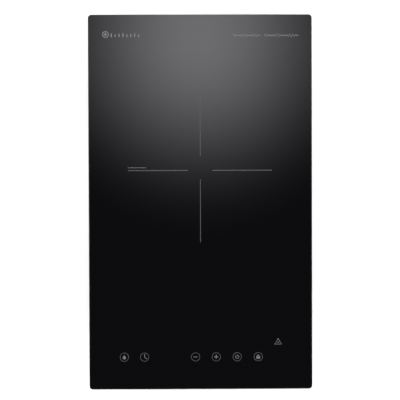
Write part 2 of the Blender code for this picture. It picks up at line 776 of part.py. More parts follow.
def make_fan():
    """The blower: a spiral housing open to the grille below, its motor, and the turning wheel."""
    roof, wall, mouth = 30.2 * MM, 1.5 * MM, -26 * MM
    shell = plate("shell", [scroll(0, mouth)], FLOOR, roof)
    ears = []
    for x, y in ((-34, 37), (31, 34)):
        foot = Vector((FAN_X + x * MM, FAN_Y + y * MM, FLOOR))
        ears.append(cylinder("ear", 5 * MM, foot, foot + Vector((0, 0, 2 * MM)), 14))
    hollow = plate("hollow", [scroll(wall, mouth + 6 * MM)], 0, roof - wall)
    keep(cut(join(shell, *ears), hollow), "fan_housing", BLACK_PLASTIC)
    body = bpy.data.objects.new("fan_wheel", None)
    bpy.context.scene.collection.objects.link(body)
    body.location = (FAN_X, FAN_Y, 0)

    motor = turned(
        "motor",
        [
            (9 * MM, roof - wall - GAP),
            (10 * MM, roof - wall - 1.3 * MM),
            (10 * MM, 9 * MM),
            (9.2 * MM, 8.3 * MM),
            (1.8 * MM, 8.3 * MM),
            (1.8 * MM, roof - wall - GAP),
        ],
        20,
        closed=True,
    )
    motor.location = body.location
    keep(motor, "fan_motor", STEEL)

    wheel = turned(
        "wheel",
        [
            (0, 24 * MM),
            (1.5 * MM, 24 * MM),
            (1.5 * MM, 8 * MM),
            (11.5 * MM, 8 * MM),
            (11.5 * MM, 20 * MM),
            (FAN_RADIUS, 20 * MM),
            (FAN_RADIUS, 18.5 * MM),
            (13.5 * MM, 18.5 * MM),
            (13.5 * MM, 7 * MM),
            (12.5 * MM, 6 * MM),
            (0, 6 * MM),
        ],
        32,
    )
    blade_outlines = []
    for k in range(FAN_BLADES):
        turn = Matrix.Rotation(2 * math.pi * k / FAN_BLADES, 2)
        front = arc((FAN_RADIUS - 7.5 * MM, 7.5 * MM), 8 * MM, -80, 5, 3)
        back = arc((FAN_RADIUS - 7.5 * MM, 7.5 * MM), 6.9 * MM, 5, -80, 3)
        blade_outlines.append([tuple(turn @ Vector(p)) for p in front + back])
    blades = plate("blades", blade_outlines, 4.5 * MM, 19 * MM)
    rim_outlines = [circle(0, 0, r, 32) for r in (FAN_RADIUS, FAN_RADIUS - 2.5 * MM)]
    rim = plate("rim", rim_outlines, 4 * MM, 5.5 * MM)
    for piece in (blades, rim):
        piece.location.x, piece.location.y = FAN_X, FAN_Y
    wheel.location = body.location
    keep(join(wheel, blades, rim), "fan_rotor", BLACK_PLASTIC, body)


def make_controls():
    """The touch board on its holder, with the springs that reach up to the glass."""
    low, high = CONTROL_MIN, CONTROL_MAX
    deck_top = CONTROL_BOTTOM - 2 * MM
    deck = rectangle((-124 * MM, -234 * MM), (124 * MM, -194 * MM))
    holder = plate("holder", [deck], deck_top - 2 * MM, deck_top)
    in_deck, boss_top = deck_top - 1 * MM, CONTROL_BOTTOM - GAP
    legs = []
    for x in (-119 * MM, 119 * MM):
        for y in (-229 * MM, -199 * MM):
            leg = box("leg", (x - 4 * MM, y - 4 * MM, FLOOR), (x + 4 * MM, y + 4 * MM, in_deck))
            legs += [leg, cylinder("boss", 3 * MM, (x, y, in_deck), (x, y, boss_top), 10)]
    keep(join(holder, *legs), "control_holder", BLACK_PLASTIC)
    board = plate("touch", [rectangle(low, high)], CONTROL_BOTTOM, CONTROL_BOTTOM + BOARD_THICKNESS)
    keep(board, "control_board", GREEN_BOARD)
    boxed_part("display_module", (-65, -21), (-224.5, -206.5), (ON_CONTROL / MM, 51), EPOXY, 0.5)
    for k, x in enumerate(KEY_X):
        spring = helix("spring", x, KEY_ROW_Y, 5 * MM, 0.35 * MM, ON_CONTROL, UNDER_GLASS, 4, 10)
        keep(spring, f"touch_spring_{k + 1}", STEEL)


def make_ribbon():
    """The flat cable from the touch board down to the power board, with a plug at each end."""
    path = [(-200, 43), (-196, 44.3), (-192, 43.2), (-189.6, 39)]
    path += [(-188, 30), (-185, 22), (-180.5, 18), (-175, 16.8)]
    points = smooth_route([Vector(p) * MM for p in path], 3 * MM)
    steps = [(b - a).normalized() for a, b in zip(points, points[1:])]
    half = 0.5 * MM
    sides = [Vector((-step.y, step.x)) * half for step in steps + steps[-1:]]
    upper_edge = [tuple(p + side) for p, side in zip(points, sides)]
    lower_edge = [tuple(p - side) for p, side in zip(points, sides)]
    ribbon = plate("ribbon", [upper_edge + lower_edge[::-1]], -8 * MM, 8 * MM)
    ribbon.location = (100 * MM, 0, 0)
    ribbon.rotation_euler = (math.pi / 2, 0, math.pi / 2)
    upper = box("upper_plug", (91 * MM, -203 * MM, ON_CONTROL), (109 * MM, -198 * MM, 44.5 * MM))
    lower = box("lower_plug", (91 * MM, -177.5 * MM, ON_BOARD), (109 * MM, -172.5 * MM, 18.5 * MM))
    keep(join(ribbon, upper, lower), "ribbon_cable", GREY_RIBBON)


def make_mains_inlet():
    """The rubber bush in the back wall, the covered terminals behind it, and the harness to the board."""
    outer_face, inner_face = CASE_DEPTH / 2 + GAP, INNER_Y - GAP
    profile = [
        (10.5 * MM, outer_face + 2.5 * MM),
        (12 * MM, outer_face + 1 * MM),
        (12 * MM, outer_face),
        (8.6 * MM, outer_face),
        (8.6 * MM, inner_face),
        (11 * MM, inner_face),
        (10 * MM, inner_face - 3 * MM),
        (5.5 * MM, inner_face - 3 * MM),
        (5.5 * MM, outer_face + 2.5 * MM),
    ]
    bush = turned("bush", profile, 24, closed=True)
    bush.location = (INLET_X, 0, INLET_Z)
    bush.rotation_euler = (-math.pi / 2, 0, 0)
    keep(bush, "cable_bush", SILICONE)

    low = (INLET_X - 20 * MM, 192 * MM, FLOOR)
    high = (INLET_X + 20 * MM, 210 * MM, 22 * MM)
    block = box("block", low, high)
    for i in (-1, 0, 1):
        x = INLET_X + i * 12.5 * MM
        wire_way = box("wire_way", (x - 3 * MM, 180 * MM, 10 * MM), (x + 3 * MM, 220 * MM, 15 * MM))
        screw_way = cylinder("screw_way", 2.6 * MM, (x, 201 * MM, 12 * MM), (x, 201 * MM, 30 * MM), 12)
        block = cut(block, wire_way, screw_way)
    keep(block, "terminal_block", WHITE_PLASTIC)

    half, wall, top = 23.5 * MM, 1.5 * MM, 25 * MM
    cover_outline = [(-half, FLOOR), (-half, top), (half, top), (half, FLOOR)]
    cover_outline += [(half - wall, FLOOR), (half - wall, top - wall)]
    cover_outline += [(wall - half, top - wall), (wall - half, FLOOR)]
    cover = plate("cover", [cover_outline], -14 * MM, 14 * MM)
    cover.location = (INLET_X, 201 * MM, 0)
    cover.rotation_euler = (math.pi / 2, 0, 0)
    keep(cover, "terminal_cover", BLACK_PLASTIC)

    points = [
        (-95, 190.5, 12.5),
        (-97, 176, 11),
        (-112, 160, 9),
        (-124, 140, 8),
        (-126, 100, 7.5),
        (-126, 40, 7.5),
        (-126, -20, 7.5),
        (-120, -48, 8),
        (-96, -60, 8),
        (-60, -61, 8),
        (-35, -60, 8.5),
        (-24, -62, 14),
        (-17, -68, 18.5),
        (-12, -76, 17.5),
        (-11, -82, 15.5),
    ]
    route("mains_harness", points, 3 * MM, BLACK_PLASTIC)


def main():
    clear_scene()
    new_collection("induction_cooktop")
    new_collection("cutters")
    make_glass()
    make_glass_frame()
    make_base_pan()
    make_case_screws()
    make_clamps()
    make_bridge()
    make_sensor(make_coil_unit())
    make_power_board()
    make_heatsink()
    make_power_parts()
    make_fan()
    make_controls()
    make_ribbon()
    make_mains_inlet()


main()
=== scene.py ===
"""The looks of a domino induction cooktop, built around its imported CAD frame.

Sizes are in millimetres, +Z up, the user at -Y. The mesh helpers turn them into Blender's metres.
A piece that replaces a CAD node keeps its size and place.
"""

import math

import bmesh
import bpy
from mathutils import Matrix, Vector


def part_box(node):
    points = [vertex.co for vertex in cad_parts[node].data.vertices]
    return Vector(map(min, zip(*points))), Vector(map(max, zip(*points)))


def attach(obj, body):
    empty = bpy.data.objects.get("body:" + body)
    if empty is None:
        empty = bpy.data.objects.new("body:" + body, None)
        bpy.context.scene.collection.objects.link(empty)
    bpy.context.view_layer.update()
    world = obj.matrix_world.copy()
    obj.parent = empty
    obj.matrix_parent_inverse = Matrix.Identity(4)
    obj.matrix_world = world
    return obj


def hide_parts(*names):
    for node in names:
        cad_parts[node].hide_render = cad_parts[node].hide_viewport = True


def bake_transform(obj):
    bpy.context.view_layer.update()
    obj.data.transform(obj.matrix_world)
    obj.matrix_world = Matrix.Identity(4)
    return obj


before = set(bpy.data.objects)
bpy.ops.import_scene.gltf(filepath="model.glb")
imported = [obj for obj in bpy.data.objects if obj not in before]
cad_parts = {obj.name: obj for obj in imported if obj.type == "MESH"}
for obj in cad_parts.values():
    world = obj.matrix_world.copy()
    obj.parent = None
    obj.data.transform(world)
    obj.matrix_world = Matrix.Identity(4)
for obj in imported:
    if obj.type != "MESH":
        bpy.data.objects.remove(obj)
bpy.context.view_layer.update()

MM = 0.001
TAU = 2 * math.pi
SIDES = {-1: "left", 1: "right"}
ENDS = {-1: "front", 1: "rear"}


class Extent:
    """A CAD node's box, in millimetres."""

    def __init__(self, node):
        self.low, self.high = (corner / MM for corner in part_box(node))
        self.size = self.high - self.low
        self.middle = (self.low + self.high) / 2


GLASS, PAN, SEAL = Extent("glass_top"), Extent("base_pan"), Extent("rim_seal")
MICA, WHEEL = Extent("mica_disc"), Extent("fan_rotor")
POWER_TOP, TOUCH_TOP = Extent("power_board").high.z, Extent("control_board").high.z
ZONE = Vector((MICA.middle.x, MICA.middle.y, 0))
FAN = Vector((WHEEL.middle.x, WHEEL.middle.y, 0))
AT_ZONE, AT_FAN = Matrix.Translation(ZONE), Matrix.Translation(FAN)

# The plate and its printing
INK_BOTTOM = GLASS.high.z - 0.03
GLASS_CORNER, GLASS_ARRIS = 5, 0.6
CROSS_X, CROSS_Y = -0.4, 44.3
CROSS_REACH, CROSS_GAP, CROSS_LINE = 99.6, 17.2, 1.1
CROSS_FRONT = (12.6, 99.6)  # where the arm along -Y starts and ends, from the middle
CROSS_REAR = (19.6, 98.2)  # and the arm along +Y
CROSS_LINE_ALONG_Y = 0.8
KEY_RADIUS, KEY_LINE, KEY_Y = 6.1, 0.52, -214.9

# The case
WALL, CASE_CORNER, CASE_FOOT = 1, 6, 2
VENT_WIDTH, WALL_VENT_LENGTH, WALL_VENT_Z = 3.6, 22, 22
REAR_VENT_X = [-48 + 10 * i for i in range(16)]
SIDE_VENT_Y = [-162 + 10 * i for i in range(10)]
GRILLE_RADIUS, GRILLE_PITCH, GRILLE_BAR = 31, 6.2, 3.4
CLAMP_TRAVEL, CLAMP_SLOT = 14, 4.6

# Board parts stand this far clear of their board, so that no faces meet.
SKIN = 0.02
POWER_SEAT, TOUCH_SEAT = POWER_TOP + SKIN, TOUCH_TOP + SKIN

# The coil unit and the blower
BRIDGE_TOP = 30.5
SCROLL_RADIUS, SCROLL_GROWTH = 41, 10
FAN_EARS = ((-34, 37), (31, 34))

# Where wires end on the power board
FAN_PLUG = (-15, -118)
THERMISTOR_PLUG = (33, -68.5)


# ---------------------------------------------------------------------------- finishes


class Nodes:
    """Short calls that add shader nodes to a tree."""

    def __init__(self, tree):
        self.tree = tree

    def fill(self, socket, value):
        """Links a socket, or sets a number, a vector or an RGB colour."""
        if isinstance(value, bpy.types.NodeSocket):
            self.tree.links.new(value, socket)
        else:
            socket.default_value = (*value, 1) if socket.type == "RGBA" else value

    def node(self, kind, output, inputs=None, **settings):
        made = self.tree.nodes.new("ShaderNode" + kind)
        for name, value in settings.items():
            setattr(made, name, value)
        for name, value in (inputs or {}).items():
            self.fill(made.inputs[name], value)
        return made.outputs[output]

    def math(self, operation, first, second=0.0):
        return self.node("Math", 0, {0: first, 1: second}, operation=operation)

    def plus(self, first, second):
        return self.math("ADD", first, second)

    def times(self, first, second):
        return self.math("MULTIPLY", first, second)

    def vector(self, operation, *values):
        output = "Value" if operation == "LENGTH" else "Vector"
        return self.node("VectorMath", output, dict(enumerate(values)), operation=operation)

    def between(self, value, low, high, from_low=0.0, from_high=1.0):
        """The value carried from one span to another."""
        inputs = {"Value": value, "From Min": from_low, "From Max": from_high, "To Min": low, "To Max": high}
        return self.node("MapRange", "Result", inputs)


class Finish(Nodes):
    """A procedural material around one Principled shader."""

    def __init__(self, name, metallic=0.0, specular=0.5):
        self.material = bpy.data.materials.new(name)
        self.material.use_nodes = True
        super().__init__(self.material.node_tree)
        self.inputs = self.tree.nodes["Principled BSDF"].inputs
        self.inputs["Metallic"].default_value = metallic
        self.inputs["Specular IOR Level"].default_value = specular
        self.place = self.node("TexCoord", "Object")

    def stretched(self, x=1.0, y=1.0, z=1.0, turn=(0, 0, 0)):
        """The object's coordinates, scaled along each axis."""
        return self.node("Mapping", "Vector", {"Vector": self.place, "Scale": (x, y, z), "Rotation": turn})

    def noise(self, size, detail=3.0, place=None, rough=0.5):
        """Soft noise whose features are about this size."""
        inputs = {"Vector": place or self.place, "Scale": 1 / (size * MM)}
        return self.node("TexNoise", "Fac", inputs | {"Detail": detail, "Roughness": rough})

    def cells(self, size, output="Distance", feature="F1", place=None):
        inputs = {"Vector": place or self.place, "Scale": 1 / (size * MM)}
        return self.node("TexVoronoi", output, inputs, feature=feature)

    def wave(self, size, place=None, direction="X"):
        """Parallel sine bands, one for each size."""
        inputs = {"Vector": place or self.place, "Scale": TAU / 20 / (size * MM)}
        return self.node("TexWave", "Fac", inputs, bands_direction=direction, wave_profile="SIN")

    def step(self, value, edge, soft=0.02):
        return self.between(value, 0.0, 1.0, edge - soft, edge + soft)

    def mix(self, factor, first, second):
        return self.node("Mix", 2, {0: factor, 6: first, 7: second}, data_type="RGBA")

    def paint(self, colour, roughness, *reliefs):
        """Sets colour and roughness, and adds reliefs: pairs of a pattern and its depth."""
        self.fill(self.inputs["Base Color"], colour)
        self.fill(self.inputs["Roughness"], roughness)
        below = {}
        for height, depth in reliefs:
            normal = self.node("Bump", "Normal", {"Height": height, "Distance": depth * MM, **below})
            below = {"Normal": normal}
            self.fill(self.inputs["Normal"], normal)
        return self.material


def tones(colour, dark, light):
    """A darker and a lighter tone of one colour."""
    return tuple(dark * c for c in colour), tuple(light * c for c in colour)


def grainy(name, size, detail, shades, rough, depth, stretch=None, **kind):
    """A plain finish whose colour, gloss and relief follow one fine noise."""
    f = Finish(name, **kind)
    grain = f.noise(size, detail, stretch and f.stretched(*stretch))
    return f.paint(f.mix(grain, *shades), f.between(grain, *rough), (grain, depth))


def printed_enamel(name, *grey):
    """Screen-printed ceramic ink: matt, without the glass's gloss."""
    return grainy(name, 0.35, 2.0, tones(grey, 0.88, 1.12), (0.6, 0.75), 0.01, specular=0.08)


def glass_ceramic():
    """Polished black glass: nearly black, mirror-like, with a faint wipe haze and a very slow ripple."""
    f = Finish("glass_ceramic")
    f.inputs["IOR"].default_value = 1.5
    colour = f.mix(f.noise(0.4, 1.0), (0.0017, 0.0017, 0.002), (0.0027, 0.0027, 0.0032))
    haze = f.between(f.noise(70, 4.0, rough=0.6), 0.015, 0.045, 0.35, 0.7)
    return f.paint(colour, haze, (f.noise(45, 1.0), 0.004))


def foam():
    """Closed-cell foam: small round cells, cut open here and there."""
    f = Finish("foam", specular=0.2)
    cell, cloud = f.cells(0.9), f.noise(6)
    colour = f.mix(f.times(cell, cloud), (0.012, 0.012, 0.013), (0.06, 0.06, 0.062))
    return f.paint(colour, f.between(cell, 0.85, 0.98), (cell, 0.25), (cloud, 0.2))


def silicone(name, grey):
    f = Finish(name, specular=0.35)
    flow = f.noise(9, 3.0, f.stretched(0.3, 1, 1))
    colour = f.mix(flow, *tones((grey,) * 3, 0.7, 1.3))
    return f.paint(colour, f.between(flow, 0.45, 0.65, 0.3, 0.7), (flow, 0.08), (f.noise(0.5, 2.0), 0.01))


def galvanised():
    """Hot-dip zinc: crystal spangles of different brightness and gloss, faint drawing marks, white bloom."""
    f = Finish("galvanised", metallic=1.0)
    bend = f.vector("ADD", f.place, f.noise(6, 2.0))
    wavy = f.node("Mix", 1, {0: 0.004, 4: f.place, 5: bend}, data_type="VECTOR")
    crystal = f.node("SeparateColor", "Red", {"Color": f.cells(6.5, "Color", place=wavy)})
    feather = f.noise(1.4, 3.0, f.stretched(1, 0.25, 1))
    both = f.plus(f.times(crystal, 0.75), f.times(feather, 0.25))
    bloom = f.step(f.noise(38, 5.0, rough=0.65), 0.62, 0.08)
    metal = f.mix(both, (0.33, 0.34, 0.35), (0.46, 0.475, 0.49))
    colour = f.mix(f.times(bloom, 0.35), metal, (0.6, 0.61, 0.61))
    return f.paint(colour, f.between(both, 0.24, 0.46), (both, 0.02), (f.noise(60, 2.0), 0.3))


def zinc_plate(name, tint, along="z"):
    """Bright zinc plating over rolled or turned steel: fine lines, a faint yellow-blue bloom, small pits."""
    f = Finish(name, metallic=1.0)
    lines = f.noise(0.35, 3.0, f.stretched(**{along: 0.06}))
    cool = tuple(c * k for c, k in zip(tint, (0.86, 0.93, 1.04)))
    warm = tuple(c * k for c, k in zip(tint, (1.06, 1.0, 0.88)))
    colour = f.mix(f.between(f.noise(11, 3.0), 0.0, 1.0, 0.35, 0.65), cool, warm)
    pits = f.step(f.cells(1.6), 0.12, 0.05)
    return f.paint(colour, f.between(lines, 0.2, 0.42, 0.3, 0.7), (lines, 0.012), (pits, 0.01))


def aluminium(name, along):
    """Mill-finish aluminium with streaks along the way it was rolled or extruded."""
    f = Finish(name, metallic=1.0)
    streaks = f.noise(0.8, 4.0, f.stretched(**{along: 0.02}))
    dull = f.between(f.noise(30, 4.0), 0.0, 0.12)
    colour = f.mix(streaks, (0.56, 0.565, 0.57), (0.78, 0.785, 0.79))
    return f.paint(colour, f.plus(f.between(streaks, 0.22, 0.36), dull), (streaks, 0.02))


def moulded(name, colour, sparks=0.35, rough=0.5):
    """Injection-moulded plastic: spark-eroded grain, a slow sink in the surface, faint flow tone."""
    f = Finish(name)
    grain, flow = f.noise(sparks, 2.0), f.noise(24, 3.0, f.stretched(0.4, 1, 1))
    gloss = f.plus(f.between(grain, -0.06, 0.06), f.between(flow, rough - 0.05, rough + 0.05))
    return f.paint(f.mix(flow, *tones(colour, 0.82, 1.15)), gloss, (grain, 0.03), (flow, 0.15))


def litz():
    """Enamelled litz: many fine copper strands twisted together, with painted shade darkening the grooves
    between them.
    """
    f = Finish("litz", metallic=0.85)
    from_zone = f.vector("SUBTRACT", f.place, tuple(ZONE * MM))
    angle = f.node("TexGradient", "Fac", {"Vector": from_zone}, gradient_type="RADIAL")
    height = f.node("SeparateXYZ", "Z", {"Vector": from_zone})
    away = f.vector("LENGTH", from_zone)
    outer_winding = f.math("GREATER_THAN", away, 66 * MM)
    turns = f.times(angle, f.between(outer_winding, 120.0, 270.0))
    lean = f.times(f.plus(height, away), 420.0)
    strand = f.math("SINE", f.times(f.plus(turns, lean), TAU))
    both = f.plus(f.between(strand, 0.0, 0.75, -1.0, 1.0), f.times(f.noise(0.5, 3.0), 0.25))
    # Painted shade: the copper colour darkens from each strand's crest into the groove between strands.
    colour = f.mix(both, (0.2, 0.055, 0.02), (0.72, 0.3, 0.13))
    return f.paint(colour, f.between(both, 0.5, 0.27), (both, 0.22))


def enamelled_wire():
    f = Finish("enamelled_wire", metallic=0.8)
    tone = f.noise(3, 3.0)
    colour = f.mix(tone, (0.3, 0.1, 0.035), (0.62, 0.27, 0.1))
    return f.paint(colour, f.between(tone, 0.2, 0.34), (f.noise(0.6, 2.0), 0.01))


def ferrite():
    """Sintered ferrite: charcoal, sandy grain, small lighter chips."""
    f = Finish("ferrite", metallic=0.2)
    grain = f.noise(0.3, 4.0, rough=0.7)
    chips = f.step(f.noise(2.2, 5.0, rough=0.8), 0.68, 0.02)
    colour = f.mix(chips, f.mix(grain, (0.028, 0.028, 0.031), (0.075, 0.075, 0.08)), (0.16, 0.16, 0.165))
    return f.paint(colour, f.between(grain, 0.55, 0.8), (grain, 0.04), (chips, 0.05))


def mica():
    """Pressed mica paper: overlapping golden flakes, some catching the light."""
    f = Finish("mica", specular=0.6)
    flake = f.cells(3.2, "Color", place=f.stretched(1, 1, 0.2))
    tone = f.node("SeparateColor", "Green", {"Color": flake})
    both = f.plus(f.times(tone, 0.6), f.times(f.cells(1.1, feature="F2"), 0.4))
    colour = f.mix(both, (0.36, 0.25, 0.13), (0.74, 0.62, 0.42))
    return f.paint(colour, f.between(tone, 0.25, 0.6), (both, 0.04))


def circuit_board():
    """Green solder mask over tracks and ground fill, tinned vias, glass weave just showing."""
    f = Finish("board_mask")
    snapped = f.vector("SNAP", f.place, (2.6 * MM, 2.6 * MM, 1.0))
    turn = f.step(f.noise(9, 2.0, snapped), 0.5, 0.01)
    along_x = f.times(f.wave(1.3), turn)
    along_y = f.times(f.wave(1.3, direction="Y"), f.math("SUBTRACT", 1.0, turn))
    track = f.step(f.plus(along_x, along_y), 0.6, 0.06)
    fill = f.step(f.noise(16, 2.0, snapped), 0.56, 0.01)
    copper = f.math("MAXIMUM", track, fill)
    via = f.math("SUBTRACT", 1.0, f.step(f.cells(5.2), 0.11, 0.015))
    weave = f.times(f.wave(0.55), f.wave(0.55, direction="Y"))
    mask = f.mix(copper, (0.008, 0.07, 0.022), (0.025, 0.19, 0.06))
    colour = f.mix(via, f.mix(f.times(weave, 0.12), mask, (0.3, 0.35, 0.2)), (0.66, 0.66, 0.62))
    f.fill(f.inputs["Metallic"], via)
    return f.paint(colour, f.between(copper, 0.42, 0.28), (copper, 0.05), (weave, 0.008))


def braided_sleeve():
    """Varnished glass-fibre braid: bundles crossing each way round the tube."""
    f = Finish("braided_sleeve", specular=0.3)
    ways = [f.wave(1.5, f.stretched(turn=(0.0, lean * 0.7, lean * 0.6)), "Z") for lean in (1, -1)]
    braid = f.math("MAXIMUM", *ways)
    colour = f.mix(braid, (0.34, 0.31, 0.24), (0.8, 0.78, 0.7))
    return f.paint(colour, f.between(braid, 0.75, 0.5), (braid, 0.25))


def insulation(name, colour, stripe=None):
    """Silicone-rubber insulation, with a second colour along the core where it has one."""
    f = Finish(name + "_core", specular=0.4)
    dust = f.noise(2.5, 4.0)
    base = f.mix(dust, *tones(colour, 0.8, 1.1))
    if stripe:
        base = f.mix(f.step(f.wave(8, f.stretched(turn=(0.3, 0.5, 0.6))), 0.5, 0.03), base, stripe)
    return f.paint(base, f.between(dust, 0.4, 0.6), (f.noise(0.6, 2.0), 0.02))


def ribbon():
    """Grey flat cable: a rounded ridge for each core."""
    f = Finish("ribbon", specular=0.4)
    across = f.node("SeparateXYZ", "X", {"Vector": f.place})
    ridge = f.math("ABSOLUTE", f.math("SINE", f.times(across, math.pi / (1.27 * MM))))
    tone = f.noise(3, 3.0)
    colour = f.mix(tone, (0.34, 0.35, 0.37), (0.5, 0.51, 0.53))
    return f.paint(colour, f.between(tone, 0.4, 0.55), (ridge, 0.3))


def smoked_lens():
    f = Finish("smoked_lens")
    colour = f.mix(f.noise(9), (0.012, 0.008, 0.009), (0.03, 0.014, 0.014))
    return f.paint(colour, f.between(f.noise(2.5, 3.0), 0.06, 0.14), (f.noise(0.8, 2.0), 0.004))


def studio_floor():
    f = Finish("studio_floor", specular=0.1)
    return f.paint(f.mix(f.noise(400, 3.0), (0.885, 0.885, 0.885), (0.9, 0.9, 0.9)), 0.9)


LOOK = {
    "glass": glass_ceramic(),
    "edge": grainy("ground_edge", 0.5, 3.0, ((0.003, 0.003, 0.0035), (0.009, 0.009, 0.01)), (0.32, 0.5), 0.02,
                   (1, 1, 9), specular=0.12),
    "ink": printed_enamel("ink", 0.062, 0.062, 0.063),
    "key_ink": printed_enamel("key_ink", 0.1, 0.1, 0.102),
    "bright_ink": printed_enamel("bright_ink", 0.125, 0.125, 0.127),
    "foam": foam(),
    "bead": silicone("bead", 0.03),
    "rubber": silicone("rubber", 0.022),
    "pan": galvanised(),
    "bracket": zinc_plate("bracket_zinc", (0.6, 0.61, 0.62), "y"),
    "screw": zinc_plate("screw_zinc", (0.62, 0.62, 0.6)),
    "motor": zinc_plate("motor_steel", (0.5, 0.51, 0.52)),
    "brass": zinc_plate("brass_strip", (0.72, 0.53, 0.24), "y"),
    "wire": grainy("wire_steel", 0.5, 4.0, ((0.36, 0.35, 0.33), (0.62, 0.61, 0.59)), (0.22, 0.4), 0.01,
                   (1, 1, 5), metallic=1.0),
    "tin": grainy("tin", 0.8, 3.0, ((0.55, 0.55, 0.54), (0.78, 0.78, 0.77)), (0.2, 0.36), 0.02, metallic=1.0),
    "epoxy": grainy("moulded_epoxy", 0.16, 3.0, ((0.009, 0.009, 0.01), (0.028, 0.028, 0.029)), (0.45, 0.65),
                    0.015, specular=0.35),
    "bridge": aluminium("bridge_aluminium", "y"),
    "extrusion": aluminium("extrusion_aluminium", "x"),
    "black": moulded("black_moulding", (0.026, 0.026, 0.028)),
    "wheel": moulded("wheel_moulding", (0.04, 0.04, 0.042), rough=0.42),
    "white": moulded("white_moulding", (0.62, 0.6, 0.54), rough=0.48),
    "connector": moulded("connector_moulding", (0.72, 0.7, 0.6), 0.2, 0.4),
    "relay": moulded("relay_moulding", (0.05, 0.075, 0.16), 0.2, 0.4),
    "film_capacitor": moulded("film_moulding", (0.045, 0.13, 0.38), 0.5, 0.32),
    "box_capacitor": moulded("box_moulding", (0.62, 0.42, 0.05), 0.5, 0.32),
    "sleeve_film": moulded("shrink_film", (0.012, 0.016, 0.05), 0.6, 0.3),
    "tape": moulded("polyester_tape", (0.68, 0.5, 0.09), 1.2, 0.28),
    "lacquer": moulded("blue_lacquer", (0.03, 0.16, 0.42), 0.8, 0.25),
    "resistor": moulded("resistor_coating", (0.5, 0.36, 0.2), 0.5, 0.4),
    "tie": moulded("tie_moulding", (0.7, 0.69, 0.65), 1.0, 0.35),
    "litz": litz(),
    "copper": enamelled_wire(),
    "ferrite": ferrite(),
    "mica": mica(),
    "board": circuit_board(),
    "sleeve": braided_sleeve(),
    "red": insulation("red", (0.36, 0.018, 0.014)),
    "black_wire": insulation("black", (0.018, 0.018, 0.019)),
    "brown": insulation("brown", (0.12, 0.045, 0.02)),
    "blue": insulation("blue", (0.03, 0.11, 0.42)),
    "earth": insulation("earth", (0.08, 0.32, 0.06), (0.68, 0.62, 0.06)),
    "ribbon": ribbon(),
    "lens": smoked_lens(),
}


# ---------------------------------------------------------------------------- mesh work


def at(x, y, z=0.0):
    """A matrix that moves a piece to a place."""
    return Matrix.Translation((x, y, z))


def spin(angle):
    """A turn about Z, in degrees."""
    return Matrix.Rotation(math.radians(angle), 4, "Z")


def metres(place):
    """A placing matrix whose millimetres are turned into Blender's metres."""
    made = place.copy()
    made.translation *= MM
    return made


def object_of(name, mesh):
    made = bpy.data.objects.new(name, mesh)
    bpy.context.scene.collection.objects.link(made)
    return made


def from_bmesh(name, bm):
    mesh = bpy.data.meshes.new(name)
    bm.to_mesh(mesh)
    bm.free()
    return object_of(name, mesh)


def smooth(item, angle=35):
    item.data.shade_smooth()
    item.data.set_sharp_from_angle(angle=math.radians(angle))
    return item


def evaluated(item):
    """The item's mesh with its modifiers applied."""
    bpy.context.view_layer.update()
    graph = bpy.context.evaluated_depsgraph_get()
    return bpy.data.meshes.new_from_object(item.evaluated_get(graph))


def solid_of(guide, name, place=Matrix()):
    """The guide's evaluated shape, moved by a matrix, as one welded mesh. The guide is removed."""
    mesh = evaluated(guide)
    mesh.transform(metres(place))
    bpy.data.objects.remove(guide)
    bm = bmesh.new()
    bm.from_mesh(mesh)
    bmesh.ops.remove_doubles(bm, verts=bm.verts, dist=0.0005 * MM)
    bm.to_mesh(mesh)
    bm.free()
    return smooth(object_of(name, mesh))


def curve_of(name, outlines, cyclic, dimensions):
    curve = bpy.data.curves.new(name, "CURVE")
    curve.dimensions = dimensions
    for outline in outlines:
        spline = curve.splines.new("POLY")
        spline.points.add(len(outline) - 1)
        for point, place in zip(spline.points, outline):
            x, y, z = (*place, 0)[:3]
            point.co = (x * MM, y * MM, z * MM, 1)
        spline.use_cyclic_u = cyclic
    return object_of(name, curve)


def plate(name, outlines, bottom, top, place=Matrix()):
    """A flat solid between two heights, then moved by a matrix. Outlines inside another are holes."""
    guide = curve_of(name, outlines, True, "2D")
    guide.data.fill_mode = "BOTH"
    guide.data.extrude = (top - bottom) / 2 * MM
    return solid_of(guide, name, place @ at(0, 0, (top + bottom) / 2))


def tube(name, points, radius, resolution=3):
    guide = curve_of(name, [points], False, "3D")
    guide.data.bevel_depth = radius * MM
    guide.data.bevel_resolution = resolution
    guide.data.use_fill_caps = True
    return solid_of(guide, name)


def turned(name, profile, steps=48, closed=False, place=Matrix()):
    """A profile of (radius, height), listed down its outer side, turned about Z."""
    bm = bmesh.new()
    points = [bm.verts.new((r * MM, 0, z * MM)) for r, z in profile]
    for pair in zip(points, points[1:] + points[:1] if closed else points[1:]):
        bm.edges.new(pair)
    guide = from_bmesh(name, bm)
    step = guide.modifiers.new("turn", "SCREW")
    step.steps = step.render_steps = steps
    step.use_merge_vertices = True
    step.merge_threshold = 0.005 * MM
    return solid_of(guide, name, place)


def bevel(bm, edges, width, segments):
    bmesh.ops.bevel(bm, geom=edges, offset=width * MM, segments=segments, profile=0.5, affect="EDGES")


def box(name, low, high, rounding=0.0, segments=2, place=Matrix()):
    bm = bmesh.new()
    size = [(b - a) * MM for a, b in zip(low, high)]
    middle = [(a + b) / 2 * MM for a, b in zip(low, high)]
    bmesh.ops.create_cube(bm, size=1, matrix=Matrix.Translation(middle) @ Matrix.Diagonal((*size, 1)))
    if rounding:
        bevel(bm, bm.edges[:], rounding, segments)
    bm.transform(metres(place))
    return smooth(from_bmesh(name, bm), 60)


def block(name, x, y, half_x, half_y, bottom, top, *rounding, place=Matrix()):
    """A box round a middle line, from a bottom to a top."""
    return box(name, (x - half_x, y - half_y, bottom), (x + half_x, y + half_y, top), *rounding, place=place)


